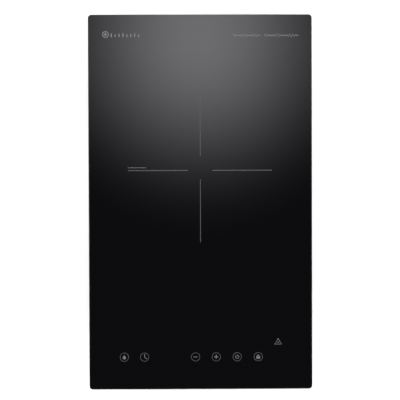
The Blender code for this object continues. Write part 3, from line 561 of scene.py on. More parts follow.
def merged(name, items):
    """Separate solids kept together as one piece."""
    bm = bmesh.new()
    looks = []
    for item in items:
        start = len(bm.faces)
        bm.from_mesh(item.data)
        bm.faces.ensure_lookup_table()
        used = list(item.data.materials)
        looks += [look for look in used if look not in looks]
        for face in bm.faces[start:] if used else ():
            face.material_index = looks.index(used[face.material_index])
        bpy.data.objects.remove(item)
    made = from_bmesh(name, bm)
    for look in looks:
        made.data.materials.append(look)
    return made


def painted(item, *looks):
    item.data.materials.clear()
    for look in looks:
        item.data.materials.append(LOOK[look])
    return item


def cut(item, *cutters, operation="DIFFERENCE"):
    """Booleans applied at once, the operands removed."""
    for cutter in cutters:
        step = item.modifiers.new("cut", "BOOLEAN")
        step.operation, step.solver, step.object = operation, "EXACT", cutter
    mesh = evaluated(item)
    item.modifiers.clear()
    item.data = mesh
    for cutter in cutters:
        bpy.data.objects.remove(cutter)
    return smooth(item)


def join(item, *others):
    return cut(item, *others, operation="UNION")


def slotted(item, angles, reach, half, bottom, top, place=Matrix()):
    """Slots sawn across a turned head, each at an angle about its axis."""
    for angle in angles:
        item = cut(item, block("slot", 0, 0, reach, half, bottom, top, place=place @ spin(angle)))
    return item


def eased(item, width, segments=2, angle=40):
    """Edges rounded by a Bevel, with the flat faces kept flat in the shading."""
    step = item.modifiers.new("ease", "BEVEL")
    step.width = width * MM
    step.segments = segments
    step.limit_method, step.angle_limit = "ANGLE", math.radians(angle)
    step.harden_normals = True
    return item


def keep(item, looks, body, slot, *replaced):
    """Paints a finished piece, puts it on its CAD body, and hides the nodes that it stands for."""
    if looks:
        painted(item, *looks.split())
    if replaced:
        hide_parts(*replaced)
    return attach(item, body)


def fixed(item, looks, slot, *replaced):
    """A finished piece that stays on the case."""
    return keep(item, looks, "case", slot, *replaced)


def across(item, look, slot, bodies, start, end, *replaced):
    """A piece that runs between two bodies: painted, with the nodes that it stands for hidden and its place
    baked into its mesh; it is put on neither body. The bodies, start and end are not used.
    """
    painted(item, look)
    if replaced:
        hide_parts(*replaced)
    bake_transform(item)


def dress(node, look, easing=0.0):
    """Gives a CAD node that is already the right shape its finish, and eases its edges."""
    item = painted(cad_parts[node], look)
    if easing:
        item.modifiers.new("weld", "WELD").merge_threshold = 0.001 * MM
        eased(item, easing)


def arc(centre, radius, start, end, segments):
    """Points of an arc, angles in degrees."""
    angles = [math.radians(start + (end - start) * i / segments) for i in range(segments + 1)]
    return [(centre[0] + radius * math.cos(a), centre[1] + radius * math.sin(a)) for a in angles]


def circle(x, y, radius, segments=48):
    return arc((x, y), radius, 0, 360, segments)[:-1]


def rectangle(x, y, width, height):
    return [(x + i * width / 2, y + j * height / 2) for i, j in ((-1, -1), (1, -1), (1, 1), (-1, 1))]


def rounded(width, depth, corner, segments=10):
    x, y = width / 2 - corner, depth / 2 - corner
    found = []
    for centre, start in (((x, y), 0), ((-x, y), 90), ((-x, -y), 180), ((x, -y), 270)):
        found += arc(centre, corner, start, start + 90, segments)
    return found


def slot_outline(x, y, length, width, segments=8):
    reach, r = length / 2 - width / 2, width / 2
    return arc((x, y + reach), r, 0, 180, segments) + arc((x, y - reach), r, 180, 360, segments)


def swung(points, angle, x, y):
    """Points turned about the origin, then moved."""
    turn = Matrix.Rotation(math.radians(angle), 2)
    return [(x + p.x, y + p.y) for p in (turn @ Vector(point) for point in points)]


def smooth_route(points, step):
    """Points read from a smooth curve through a route's own points, about a step apart."""
    points = [Vector(p) for p in points]
    ends = [2 * points[0] - points[1], *points, 2 * points[-1] - points[-2]]
    found = [points[0]]
    for a, b, c, d in zip(ends, ends[1:], ends[2:], ends[3:]):
        parts = max(1, round((c - b).length / step))
        for i in range(1, parts + 1):
            t = i / parts
            bend = (2 * a - 5 * b + 4 * c - d) * t * t + (3 * b - a - 3 * c + d) * t ** 3
            found.append(0.5 * (2 * b + (c - a) * t + bend))
    return found


def laid(x_axis, y_axis, z_axis, origin):
    """A matrix that lays local X, Y and Z along the given directions."""
    made = Matrix((x_axis, y_axis, z_axis)).transposed().to_4x4()
    made.translation = origin
    return made


def along_y(x, z, y=0.0):
    """Lays a plate's X and Y along the world's X and Z, so that it is extruded along Y."""
    return laid((1, 0, 0), (0, 0, 1), (0, -1, 0), (x, y, z))


def along_x(x):
    """Lays a plate's X and Y along the world's Y and Z, so that it is extruded along X."""
    return laid((0, 1, 0), (0, 0, 1), (1, 0, 0), (x, 0, 0))


def facing(direction, place):
    """Lays local Z along a direction, at a place."""
    made = Vector(direction).to_track_quat("Z", "Y").to_matrix().to_4x4()
    made.translation = place
    return made


def bent_sheet(name, path, thickness, bend, width, place):
    """A sheet folded along a path, which is the middle of its thickness. Each corner is rounded."""
    line = [Vector(path[0])]
    for before, corner, after in zip(path, path[1:], path[2:]):
        corner = Vector(corner)
        first = corner + (Vector(before) - corner).normalized() * bend
        last = corner + (Vector(after) - corner).normalized() * bend
        for t in (i / 6 for i in range(7)):
            line.append(first * (1 - t) ** 2 + corner * 2 * t * (1 - t) + last * t * t)
    line.append(Vector(path[-1]))
    ahead = [(b - a).normalized() for a, b in zip(line, line[1:])]
    sides = []
    for a, b in zip(ahead[:1] + ahead, ahead + ahead[-1:]):
        middle = (a + b).normalized()
        sides.append(Vector((-middle.y, middle.x)) * thickness / 2)
    outline = [p + s for p, s in zip(line, sides)] + [p - s for p, s in zip(line, sides)][::-1]
    return plate(name, [outline], -width / 2, width / 2, place)


# ---------------------------------------------------------------------------- the glass and its printing


def make_glass():
    """The plate: polished faces and a rounded, ground rim."""
    bm = bmesh.new()
    outline = rounded(GLASS.size.x, GLASS.size.y, GLASS_CORNER, 16)
    face = bm.faces.new([bm.verts.new((x * MM, y * MM, GLASS.low.z * MM)) for x, y in outline])
    for item in bmesh.ops.extrude_face_region(bm, geom=[face])["geom"]:
        if isinstance(item, bmesh.types.BMVert):
            item.co.z = (INK_BOTTOM - 0.005) * MM
    bmesh.ops.recalc_face_normals(bm, faces=bm.faces)
    rims = [e for e in bm.edges if abs(e.verts[0].co.z - e.verts[1].co.z) < 0.1 * MM]
    bevel(bm, rims, GLASS_ARRIS, 4)
    for face in bm.faces:
        face.smooth = True
        face.material_index = 0 if face.normal.z > 0.999 else 1
    for edge in bm.edges:
        edge.smooth = all(abs(f.normal.z) <= 0.999 for f in edge.link_faces)
    fixed(from_bmesh("glass_plate", bm), "glass edge", "glass_ceramic", "glass_top")


def printed(name, outlines, look="ink"):
    """Ink lying in the plate's top face: a very thin solid."""
    fixed(plate(name, outlines, INK_BOTTOM, GLASS.high.z), look, "glass_ceramic")


def make_zone_cross():
    """The four printed arms that mark the cooking zone, and a row of dashes over the left one."""
    length, middle = CROSS_REACH - CROSS_GAP, (CROSS_REACH + CROSS_GAP) / 2
    arms = [rectangle(CROSS_X + side * middle, CROSS_Y, length, CROSS_LINE) for side in SIDES]
    for end, (near, far) in zip(ENDS, (CROSS_FRONT, CROSS_REAR)):
        arms.append(rectangle(0, CROSS_Y + end * (near + far) / 2, CROSS_LINE_ALONG_Y, far - near))
    printed("zone_cross", arms)
    start, pitch = CROSS_X - CROSS_REACH, 2.3
    dashes = [rectangle(start + (i + 0.35) * pitch, CROSS_Y + 3.9, 1.5, 0.9) for i in range(11)]
    printed("zone_dashes", dashes, "bright_ink")


def ring(x, y, radius, line):
    return [circle(x, y, radius), circle(x, y, radius - line)]


def drop(x, y):
    body = arc((x, y - 0.7), 2.3, 150, 390, 18)
    return [body + [(x + 0.9, y + 1.2), (x + 0.2, y + 3.1), (x - 0.9, y + 1.5)]]


def clock(x, y):
    line = 0.45
    short_hand = swung([(line, line), (line, -line), (4, -line), (4, line)], -38, x, y)
    return [rectangle(x, y + 2, 2 * line, 4.2), short_hand]


def minus(x, y):
    return [rectangle(x, y, 5.2, 0.9)]


def plus(x, y):
    arm = ((2.8, -0.55), (2.8, 0.55), (0.55, 0.55))
    return [sum((swung(arm, 90 * quarter, x, y) for quarter in range(4)), [])]


def power(x, y):
    broken_ring = arc((x, y), 2.7, 125, 415, 24) + arc((x, y), 1.95, 415, 125, 24)
    return [broken_ring, rectangle(x, y + 1.7, 0.8, 2.7)]


def padlock(x, y):
    shackle = arc((x, y + 0.9), 1.9, 0, 180, 12) + arc((x, y + 0.9), 0.9, 180, 0, 12)
    return [rectangle(x, y - 1.1, 5.2, 3.6), shackle]


def make_key_marks():
    for index, glyph in enumerate((drop, clock, minus, plus, power, padlock), 1):
        x = Extent(f"touch_spring_{index}").middle.x
        printed(f"key_{index}_ring", ring(x, KEY_Y, KEY_RADIUS, KEY_LINE))
        printed(f"key_{index}_glyph", glyph(x, KEY_Y), "key_ink")


def wavy_line(start, end, waves, y=230.8, line=0.58):
    """The outline of a fine wave that swells and fades."""
    steps = waves * 14
    shares = [i / steps for i in range(steps + 1)]
    middle = []
    for share in shares:
        swing = 1.0 + 0.8 * math.cos(TAU * 2.5 * share)
        middle.append((start + (end - start) * share, y + swing * math.sin(TAU * waves * share)))
    return [(x, y + line) for x, y in middle] + [(x, y - line) for x, y in middle[::-1]]


def make_corner_marks():
    """Plain marks at the plate's rear corners: a ring and bars at the left, fine waves at the right."""
    x, y = -130.6, 232.6
    printed("corner_ring", [*ring(x, y, 4.6, 1.3), circle(x, y, 1.8, 32)], "bright_ink")
    start, pitch, width, foot = -122.6, 5.4, 1.7, 229
    heights = [(5.0, 3.4, 4.2)[i % 3] for i in range(8)]
    bars = [rectangle(start + i * pitch, foot + tall / 2, width, tall) for i, tall in enumerate(heights)]
    printed("corner_bars", bars, "bright_ink")
    printed("corner_waves", [wavy_line(46, 84, 9), wavy_line(89, 136, 11)], "bright_ink")


def make_triangle_mark():
    """A plain outlined triangle with a dot in it, beside the keys."""
    x, y, reach, line = 107.5, -194.8, 5.9, 1.1
    outer, inner = (arc((x, y), radius, 90, 450, 3)[:-1] for radius in (reach, reach - line))
    printed("triangle_mark", [outer, inner, circle(x, y, 0.8, 16)], "key_ink")


# ---------------------------------------------------------------------------- the case


def make_rim_seal():
    """A foam strip laid round the rim, with its butt joint at the back."""
    width, depth, strip_width, joint, joint_x = SEAL.size.x, SEAL.size.y, 9, 0.5, 30
    outlines = [rounded(width, depth, 4), rounded(width - 2 * strip_width, depth - 2 * strip_width, 3)]
    strip = plate("foam_strip", outlines, SEAL.low.z, SEAL.high.z)
    gap = box("joint", (joint_x, SEAL.high.y - 20, 0), (joint_x + joint, SEAL.high.y + 5, 100))
    fixed(eased(cut(strip, gap), 0.7, 3), "foam", "foam_seal", "rim_seal")


def open_tray():
    """The case's outer surface, open at the top, then given its sheet thickness."""
    bm = bmesh.new()
    size = PAN.size * MM
    place = Matrix.Translation(PAN.middle * MM) @ Matrix.Diagonal((*size, 1))
    bmesh.ops.create_cube(bm, size=1, matrix=place)
    bmesh.ops.delete(bm, geom=[f for f in bm.faces if f.normal.z > 0.5], context="FACES_ONLY")
    upright = [e for e in bm.edges if abs(e.verts[0].co.z - e.verts[1].co.z) > size.z / 2]
    bevel(bm, upright, CASE_CORNER, 10)
    lowest = [e for e in bm.edges if max(v.co.z for v in e.verts) < 0.1 * MM]
    bevel(bm, lowest, CASE_FOOT, 5)
    item = from_bmesh("tray", bm)
    step = item.modifiers.new("sheet", "SOLIDIFY")
    step.thickness, step.offset, step.use_even_offset = WALL * MM, -1, True
    return item


def vent_cutters():
    """The floor vents, the back and side wall vents, and the grille under the fan."""
    grille = []
    for offset in (i * GRILLE_PITCH for i in range(-4, 5)):
        chord = 2 * math.sqrt(GRILLE_RADIUS ** 2 - offset ** 2)
        grille.append(slot_outline(FAN.x + offset, FAN.y, chord, GRILLE_BAR))
    floor_y, floor_length, reach = 176, 44, 3
    wall = WALL_VENT_LENGTH, VENT_WIDTH
    return [plate("vents", outlines, -reach, reach, place) for outlines, place in (
        ([slot_outline(x, floor_y, floor_length, VENT_WIDTH) for x in REAR_VENT_X], Matrix()),
        ([slot_outline(x, 0, *wall) for x in REAR_VENT_X], along_y(0, WALL_VENT_Z, PAN.high.y)),
        ([slot_outline(y, WALL_VENT_Z, *wall) for y in SIDE_VENT_Y], along_x(PAN.high.x)),
        (grille, Matrix()),
    )]


def corners():
    """The name, the side and the places of the screws of each corner's fixings."""
    for end in ENDS:
        for side in SIDES:
            corner = f"{ENDS[end]}_{SIDES[side]}"
            yield corner, side, Extent("case_screw_" + corner), Extent("clamp_screw_" + corner)


def make_base_pan():
    """The zinc-coated tray: vents, screw holes, and three stiffening beads pressed up into the floor."""
    inlet = Extent("cable_bush").middle
    inlet.y = PAN.high.y
    holes = vent_cutters() + [plate("inlet", [circle(0, 0, 9, 40)], -5, 5, facing((0, 1, 0), inlet))]
    for _, side, *screws in corners():
        for screw, radius in zip(screws, (1.8, 2.3)):
            place = facing((side, 0, 0), (side * PAN.high.x, screw.middle.y, screw.middle.z))
            holes.append(plate("hole", [circle(0, 0, radius, 24)], -12, 3, place))
    pan, raised, length, width = open_tray(), 2, 196, 11
    for y in (-22, ZONE.y, 109):
        place = at(0, y) @ spin(90)
        bead = plate("bead", [slot_outline(0, 0, length, width)], 0.4, WALL + raised, place)
        groove = plate("groove", [slot_outline(0, 0, length - 2 * WALL, width - 2 * WALL)], -1, raised, place)
        pan = cut(join(pan, bead), groove)
    fixed(eased(cut(pan, *holes), 0.22), "pan", "zinc_sheet", "base_pan")


def side_screw(name, node, side, shank, head):
    """A pan-head machine screw with a cross recess and a rolled thread, in its CAD node's place."""
    screw = Extent(node)
    top, pitch = screw.size.x, 0.7
    under = top - 0.62 * head
    profile = [(0, top), (0.3 * head, top - 0.01 * head), (0.62 * head, top - 0.1 * head)]
    profile += [(0.86 * head, top - 0.26 * head), (0.97 * head, top - 0.44 * head)]
    profile += [(head, under), (shank, under)]
    for i in range(int((under - 1.2) / pitch)):
        profile += [(0.82 * shank, under - (i + 0.5) * pitch), (shank, under - (i + 1) * pitch)]
    profile += [(0.7 * shank, 0.3), (0.5 * shank, 0), (0, 0)]
    made = slotted(turned(name, profile, 28), (45, 135), 0.52 * head, 0.12 * head, top - 0.42 * head, top + 1)
    outward = Vector((side, 0, 0))
    made.data.transform(metres(facing(outward, screw.middle - outward * top / 2)))
    fixed(eased(made, 0.06, 1, 50), "screw", "plated_steel", node)


def make_clamp(corner, side, screw):
    """A bent steel bracket that grips the worktop from below: a slotted leg, an arm and a toothed tip."""
    name, node = "clamp_" + corner, Extent("clamp_bracket_" + corner)
    low, high, y, sheet = node.low, node.high, node.middle.y, 1.5
    root, tip = low.x if side > 0 else high.x, node.size.x - sheet / 2
    arm = low.z + sheet / 2
    path = [(side * x, z) for x, z in ((sheet / 2, high.z), (sheet / 2, arm), (tip, arm), (tip, low.z + 4))]
    clamp = bent_sheet(name, path, sheet, 2.2, node.size.y, along_y(root, 0, y))
    window = slot_outline(y, screw.middle.z - CLAMP_TRAVEL / 2, CLAMP_TRAVEL + CLAMP_SLOT, CLAMP_SLOT)
    cutters = [plate("window", [window], -6, 6, along_x(root))]
    teeth = 9
    pitch = node.size.y / teeth
    for tooth in (low.y + (i + 0.5) * pitch for i in range(teeth)):
        notch = [(tooth - 0.3 * pitch, low.z + 4.5), (tooth, low.z + 2.9), (tooth + 0.3 * pitch, low.z + 4.5)]
        cutters.append(plate("notch", [notch], -4, 4, along_x(root + side * tip)))
    keep(eased(cut(clamp, *cutters), 0.15), "bracket", name, "plated_steel", "clamp_bracket_" + corner)


def make_case_fixings():
    for corner, side, _, clamp_screw in corners():
        side_screw("screw_of_case_" + corner, "case_screw_" + corner, side, 1.5, 3.2)
        side_screw("screw_of_clamp_" + corner, "clamp_screw_" + corner, side, 1.9, 4.2)
        make_clamp(corner, side, clamp_screw)


def make_bush():
    """The rubber bush that the supply cable passes through: a rounded lip, a neck and an inner barb."""
    bush = Extent("cable_bush")
    near, far, middle = bush.low.y, bush.high.y, bush.middle
    outside, inside = PAN.high.y + 0.3, PAN.high.y - 1.3
    profile = [(9.8, far), (11.2, far - 0.35), (11.85, far - 1), (12, outside), (8.6, outside), (8.6, inside)]
    profile += [(11, inside), (10.8, inside - 0.6), (10, near), (6.3, near), (5.5, near + 0.8)]
    for rise in (near + 1.6 + 1.3 * i for i in range(4)):
        profile += [(5.5, rise), (6, rise + 0.4), (5.5, rise + 0.8)]
    place = laid((1, 0, 0), (0, 0, -1), (0, 1, 0), (middle.x, 0, middle.z))
    fixed(turned("bush", profile + [(6.2, far)], 64, True, place), "rubber", "silicone", "cable_bush")


# ---------------------------------------------------------------------------- the coil unit


def spring(name, node, wire, turns, per_turn=28):
    """A compression spring in its CAD node's place, with its end turns closed and laid flat."""
    node = Extent(node)
    x, y, radius = node.middle.x, node.middle.y, node.size.x / 2 - wire
    bottom, top = node.low.z + wire, node.high.z - wire
    count = round(turns * per_turn)
    points = []
    for i in range(count + 1):
        share = min(max((i - per_turn * 0.7) / (count - per_turn * 1.4), 0), 1)
        height = bottom + (top - bottom) * (share + 0.12 * (i / count - share))
        angle = TAU * i / per_turn
        points.append((x + radius * math.cos(angle), y + radius * math.sin(angle), height))
    return tube(name, points, wire)


def above_zone(height):
    return (ZONE.x, ZONE.y, height)


def make_coil_springs():
    for k in (1, 2, 3):
        node = f"coil_spring_{k}"
        ends = [above_zone(corner.z) for corner in (Extent(node).low, Extent(node).high)]
        made = spring(f"float_spring_{k}", node, 0.5, 5.2)
        across(made, "wire", "spring_steel", ("case", "coil_unit"), *ends, node)


def make_bridge():
    """The bent aluminium sheet over the air duct, with studs for the springs and rivets in its feet."""
    node, top = Extent("shield_bridge"), BRIDGE_TOP
    floor, summit, foot, sheet = node.low.z, node.high.z, node.high.x, 1
    half = foot - 10 + sheet / 2
    path = [(-foot, floor + sheet / 2), (-half, floor + sheet / 2), (-half, top)]
    path += [(-x, z) for x, z in path[::-1]]
    bridge = bent_sheet("bridge", path, sheet, 2.4, node.size.y, along_y(0, 0, node.middle.y))
    places = [(side * 80, ZONE.y + end * 58) for side in SIDES for end in ENDS]
    windows = [[(x + a, y + b) for a, b in rounded(44, 26, 6)] for x, y in places]
    cutters = [plate("openings", lines, top - 5, top + 5) for lines in ([circle(ZONE.x, ZONE.y, 8)], windows)]
    fixed(eased(cut(bridge, *cutters), 0.2), "bridge", "aluminium", "shield_bridge")
    stud = [(0, summit), (1.6, summit), (2.4, summit - 0.7), (2.6, summit - 1.6)]
    stud += [(2.6, top + 0.5), (0, top + 0.5)]
    for k in (1, 2, 3):
        place = Extent(f"coil_spring_{k}").middle
        fixed(turned(f"bridge_stud_{k}", stud, 32, place=at(place.x, place.y)), "bridge", "aluminium")
    rivet = [(0, 1.1), (1.1, 0.95), (2, 0.45), (2.3, 0), (0, 0)]
    for side, side_name in SIDES.items():
        for k, y in enumerate((-30, ZONE.y, 117), 1):
            place = at(side * (foot - 5), y, floor + sheet)
            fixed(turned(f"bridge_rivet_{side_name}_{k}", rivet, 24, place=place), "extrusion", "aluminium")


def make_carrier():
    """The moulded spider that holds the coil: a rimmed disc with windows, ribs round each bar, and a hub."""
    node = Extent("coil_carrier")
    low, top, radius = node.low.z, node.high.z, node.size.x / 2
    disc, web, hub, bore = top - 2, low + 1.5, 10, 7
    profile = [(radius - 0.5, top), (radius, top - 0.5), (radius, disc + 0.5), (radius - 0.5, disc)]
    profile += [(hub, disc), (hub, low + 0.8), (hub - 0.8, low)]
    profile += [(2.5, low), (2.5, web), (bore, web), (bore, top)]
    carrier = turned("carrier", profile, 120, True, AT_ZONE)
    rib_bottom, rib_top = Extent("ferrite_bar_1").low.z + 0.3, top - 1
    ribs, cutters = [], []
    for angle in range(0, 360, 60):
        place = AT_ZONE @ spin(angle)
        ribs += [block("rib", 56, y, 26, 0.7, rib_bottom, rib_top, place=place) for y in (-8.3, 8.3)]
        for inner, outer, spread in ((24, 42, 15), (56, 73, 22)):
            start, end = angle + 30 - spread, angle + 30 + spread
            outline = arc((0, 0), outer, start, end, 12) + arc((0, 0), inner, end, start, 12)
            cutters.append(plate("window", [outline], disc - 1, top + 1, AT_ZONE))
    for k in (1, 2, 3):
        place = Extent(f"coil_spring_{k}").middle
        ribs.append(plate("spigot", [circle(place.x, place.y, 2.6, 28)], rib_bottom, rib_top))
    front = ZONE.y - radius
    notch = box("notch", (-12, front - 5, disc - 2), (12, front + 12.5, top + 2))
    carrier = eased(cut(join(carrier, *ribs), *cutters, notch), 0.25)
    keep(carrier, "white", "coil_unit", "white_plastic", "coil_carrier")


def wound(item, *replaced):
    keep(item, "litz", "coil_unit", "litz_copper", *replaced)


def make_windings():
    """Litz wound in two layers, each a flat spiral about the zone's middle, with its ends and a link."""
    for name, turns, inner in (("outer", 17, 52), ("inner", 10, 20)):
        node = Extent("coil_winding_" + name)
        outer, wire = node.size.x / 2, node.size.z / 4 - 0.01
        count = round(turns * 64)
        layers = []
        for way, height in ((-1, node.low.z + wire), (1, node.high.z - wire)):
            points = []
            for share in (i / count for i in range(count + 1)):
                radius = inner + wire + (outer - inner - 2 * wire) * share
                angle = way * TAU * turns * share - math.pi / 2
                points.append((ZONE.x + radius * math.cos(angle), ZONE.y + radius * math.sin(angle), height))
            layers.append(tube("layer", points, wire, 2))
        wound(merged("litz_" + name, layers), "coil_winding_" + name)
    back = [(1, 12, 46), (2, 9.5, 43), (3, 5, 41.6), (5, -18, 41.4), (7, -36, 41.4), (7.2, -44, 42)]
    back.append((7, -46.9, 43.2))
    end = [(-3, -47.2, 46.6), (-5.4, -48.2, 46), (-6.8, -48, 44.9), (-7, -47.4, 43.6)]
    link = [(ZONE.x + 1, ZONE.y - 43), *arc((ZONE.x, ZONE.y), 48, -100, -62, 16)[4:]]
    wound(tube("litz_return", smooth_route(back, 1.2), 1.15))
    wound(tube("litz_end", smooth_route(end, 1.2), 1.15))
    wound(tube("litz_link", [(x, y, 46.7) for x, y in link], 1.15))


def make_ferrites():
    bar = Extent("ferrite_bar_1")
    low = (bar.low.x - ZONE.x, -bar.size.y / 2, bar.low.z)
    high = (bar.high.x - ZONE.x, bar.size.y / 2, bar.high.z)
    for k in range(6):
        made = box(f"ferrite_{k + 1}", low, high, 0.7, 3, AT_ZONE @ spin(60 * k))
        keep(made, "ferrite", "coil_unit", "ferrite", f"ferrite_bar_{k + 1}")


def make_mica():
    """The mica disc over the windings: a sensor hole, and small holes where it is tied down."""
    centre = (ZONE.x, ZONE.y)
    outlines = [circle(*centre, MICA.size.x / 2, 120), circle(*centre, 14, 60)]
    outlines += [circle(*tie, 1.6, 20) for tie in arc(centre, 48, 30, 330, 5)]
    disc = plate("mica_sheet", outlines, MICA.low.z, MICA.high.z)
    keep(eased(disc, 0.12, 1), "mica", "coil_unit", "mica", "mica_disc")


def make_leads():
    """The coil's sleeved leads, each with a crimped lug under a screw post on the power board."""
    post = [(0, 18.4), (2.6, 18.4), (3.4, 17.8), (3.4, 16), (3, 15.4), (3, 12)]
    post += [(5, 11.9), (5, 11.65), (0, 11.65)]
    lug = [(0, 4.2), (1.2, 4.2), (2.1, 4), (2.1, 0.2), (1.75, 0), (1.75, -1), (0, -1)]
    lug_height, to_post = 16.4, Vector((5, -5.5, 0))
    joint, still = ("case", "coil_unit"), (0, 0, Extent("coil_carrier").low.z - 18)
    for side, name in SIDES.items():
        node = "coil_lead_" + name
        x, y = side * 14 + 6, -70
        points = [(side * 7, -47.3, 44.8), (side * 7, -47.6, 40.5), (side * 7.5, -50.5, 34.5)]
        points += [(side * 10 + 1, -57, 27), (side * 13 + 4, -64, 20), (x, y, lug_height)]
        lead = tube("sleeved_lead_" + name, smooth_route(points, 1.5), 1.7, 4)
        across(lead, "sleeve", "glass_sleeve", joint, still, (0, 0, Extent(node).high.z), node)
        made = turned("lead_post_" + name, post, 32, place=at(x + to_post.x, y + to_post.y))
        fixed(made, "tin", "plated_steel")
        made = turned("lead_lug_" + name, lug, 24, place=facing(to_post, (x, y, lug_height)))
        fixed(made, "tin", "plated_steel")


def make_sensor():
    """The thermistor's ceramic cap, its spring in the hub, and its thin leads."""
    node, coil = Extent("sensor_cap"), Extent("sensor_spring")
    low, high = node.low.z, node.high.z
    profile = [(0, high), (3.9, high), (4.7, high - 0.3), (5, high - 1), (5, low + 2), (5.3, low + 1.6)]
    profile += [(6.2, low + 1.5), (6.4, low + 1.3), (6.4, low + 0.2), (6.2, low), (0, low)]
    cap = turned("thermistor_cap", profile, 64, place=AT_ZONE)
    keep(cap, "white", "sensor", "white_plastic", "sensor_cap")
    made = spring("thermistor_spring", "sensor_spring", 0.4, 4.6)
    bodies, foot = ("coil_unit", "sensor"), above_zone(coil.low.z)
    across(made, "wire", "spring_steel", bodies, foot, above_zone(coil.high.z), "sensor_spring")
    for k, x in enumerate((-0.8, 0.8), 1):
        upper = [(x, 43.5, 45.3), (x * 1.2, 43.4, 41), (x, 43.6, 37.5), (x, 43.5, 34)]
        wire = tube(f"thermistor_wire_{k}", smooth_route(upper, 1), 0.55, 2)
        across(wire, "sleeve", "glass_sleeve", bodies, foot, above_zone(low))
        end_x, end_y = THERMISTOR_PLUG[0] + math.copysign(1.25, x), THERMISTOR_PLUG[1]
        lower = [(x, 43.5, 34), (x, 43.2, 30.5), (x * 1.2, 39, 27.6), (x + 1, 20, 27), (x + 5, -10, 26.6)]
        lower += [(x + 12, -40, 26), (x + 21, -57, 25.6), (end_x - 1.6, end_y + 4.5, 24.3)]
        lower += [(end_x, end_y + 0.4, 21.4), (end_x, end_y, 18.6)]
        lead = tube(f"thermistor_lead_{k}", smooth_route(lower, 2), 0.55, 2)
        across(lead, "sleeve", "glass_sleeve", ("case", "coil_unit"), above_zone(28), above_zone(34))


# ---------------------------------------------------------------------------- the blower


def scroll_outline(offset, reach, segments=72):
    """The blower's spiral outline, moved in by an offset, with its outlet at x = reach."""
    throat = SCROLL_RADIUS * math.sin(math.radians(-20)) - offset
    start, end = math.asin(throat / (SCROLL_RADIUS - offset)), math.radians(270)
    points = []
    for share in (i / segments for i in range(segments + 1)):
        angle, radius = start + (end - start) * share, SCROLL_RADIUS + SCROLL_GROWTH * share - offset
        points.append((FAN.x + radius * math.cos(angle), FAN.y + radius * math.sin(angle)))
    return points + [(reach, points[-1][1]), (reach, points[0][1])]


def roof_recesses(top):
    """The cutter that leaves the roof's spokes, its motor boss and the ribs over its outlet standing."""
    inner, outer, half_rib, centre = 15, 35, 1.1, (FAN.x, FAN.y)
    lean_in, lean_out = (math.degrees(math.asin(half_rib / radius)) for radius in (inner, outer))
    outlines = [circle(*centre, 5)]
    for start in range(0, 360, 60):
        outline = arc(centre, outer, start + lean_out, start + 60 - lean_out, 14)
        outlines.append(outline + arc(centre, inner, start + 60 - lean_in, start + lean_in, 8))
    outlines += [slot_outline(-39 + 4.6 * k, -150.5, 27, 3) for k in range(3)]
    return plate("recesses", outlines, top - 0.7, top + 1)


def small_screw(name, place, profile, angle, slot_bottom):
    """A small cross-slotted screw, whose head's underside is at the place."""
    made = turned(name, profile, 28, place=place)
    made = slotted(made, (angle, angle + 90), 1.5, 0.35, slot_bottom, 4, place)
    fixed(made, "screw", "plated_steel")


def pan_head(name, x, y, z, scale=1.0):
    profile = [(0, 2.1), (1.4, 2), (2.5, 1.4), (2.9, 0.4), (2.9, 0), (0, 0)]
    small_screw(name, at(x, y, z) @ Matrix.Scale(scale, 4), profile, 20, 1)


def make_fan_wires(roof):
    """The motor's two wires: up through the roof, along a spoke, and down to their plug on the board."""
    for side, look in ((-1, "red"), (1, "black_wire")):
        end_x, end_y = FAN_PLUG[0] + 1.25 * side, FAN_PLUG[1]
        along = [(-65.6, 28.9), (-65.3, 30.5), (-63.4, roof + 0.82), (-56, roof + 0.75), (-46, roof + 0.75)]
        along += [(-37.6, roof + 0.78), (-33, 30), (-27, 27.4), (-21, 25.4)]
        points = [(x, FAN.y + 0.75 * side, z) for x, z in along]
        points += [(end_x - 0.9, FAN.y + 0.75 * side, 23.2), (end_x, end_y, 20.8), (end_x, end_y, 18.6)]
        fixed(tube(f"fan_wire_{look[:3]}", smooth_route(points, 1), 0.65), look, "black_plastic")


def make_fan():
    """The blower's housing: a scroll with two screwed ears and a ribbed roof, its screws and its wires."""
    node = Extent("fan_housing")
    wall, mouth, floor, roof = 1.5, node.high.x, node.low.z, node.high.z
    ears = [(FAN.x + x, FAN.y + y) for x, y in FAN_EARS]
    shell = plate("housing", [scroll_outline(0, mouth)], floor, roof)
    for ear in ears:
        shell = join(shell, plate("ear", [circle(*ear, 5, 32)], floor, floor + 2))
    hollow = plate("hollow", [scroll_outline(wall, mouth + 6)], 0, roof - wall)
    wire_hole = plate("wire_hole", [circle(FAN.x + 12.4, FAN.y, 1.9, 28)], 20, roof + 1)
    housing = eased(cut(shell, hollow, roof_recesses(roof), wire_hole), 0.28, 3)
    fixed(housing, "black", "black_plastic", "fan_housing")
    for k, ear in enumerate(ears, 1):
        pan_head(f"fan_screw_{k}", *ear, floor + 2.02)
    for k, place in enumerate(arc((FAN.x, FAN.y), 9.3, 60, 300, 2), 1):
        pan_head(f"motor_screw_{k}", *place, roof + 0.02, 0.75)
    make_fan_wires(roof)


def make_motor():
    """The motor under the housing's roof: a turned can with a groove round it."""
    node = Extent("fan_motor")
    low, high = node.low.z, node.high.z
    profile = [(8.6, high), (9.6, high - 0.3), (10, high - 1.2), (10, 14), (9.7, 13.7), (9.7, 13), (10, 12.7)]
    profile += [(10, 9.2), (9.2, low), (3.4, low), (3.2, low + 0.4), (1.8, low + 0.4), (1.8, high)]
    fixed(turned("motor_can", profile, 64, True, AT_FAN), "motor", "plated_steel", "fan_motor")


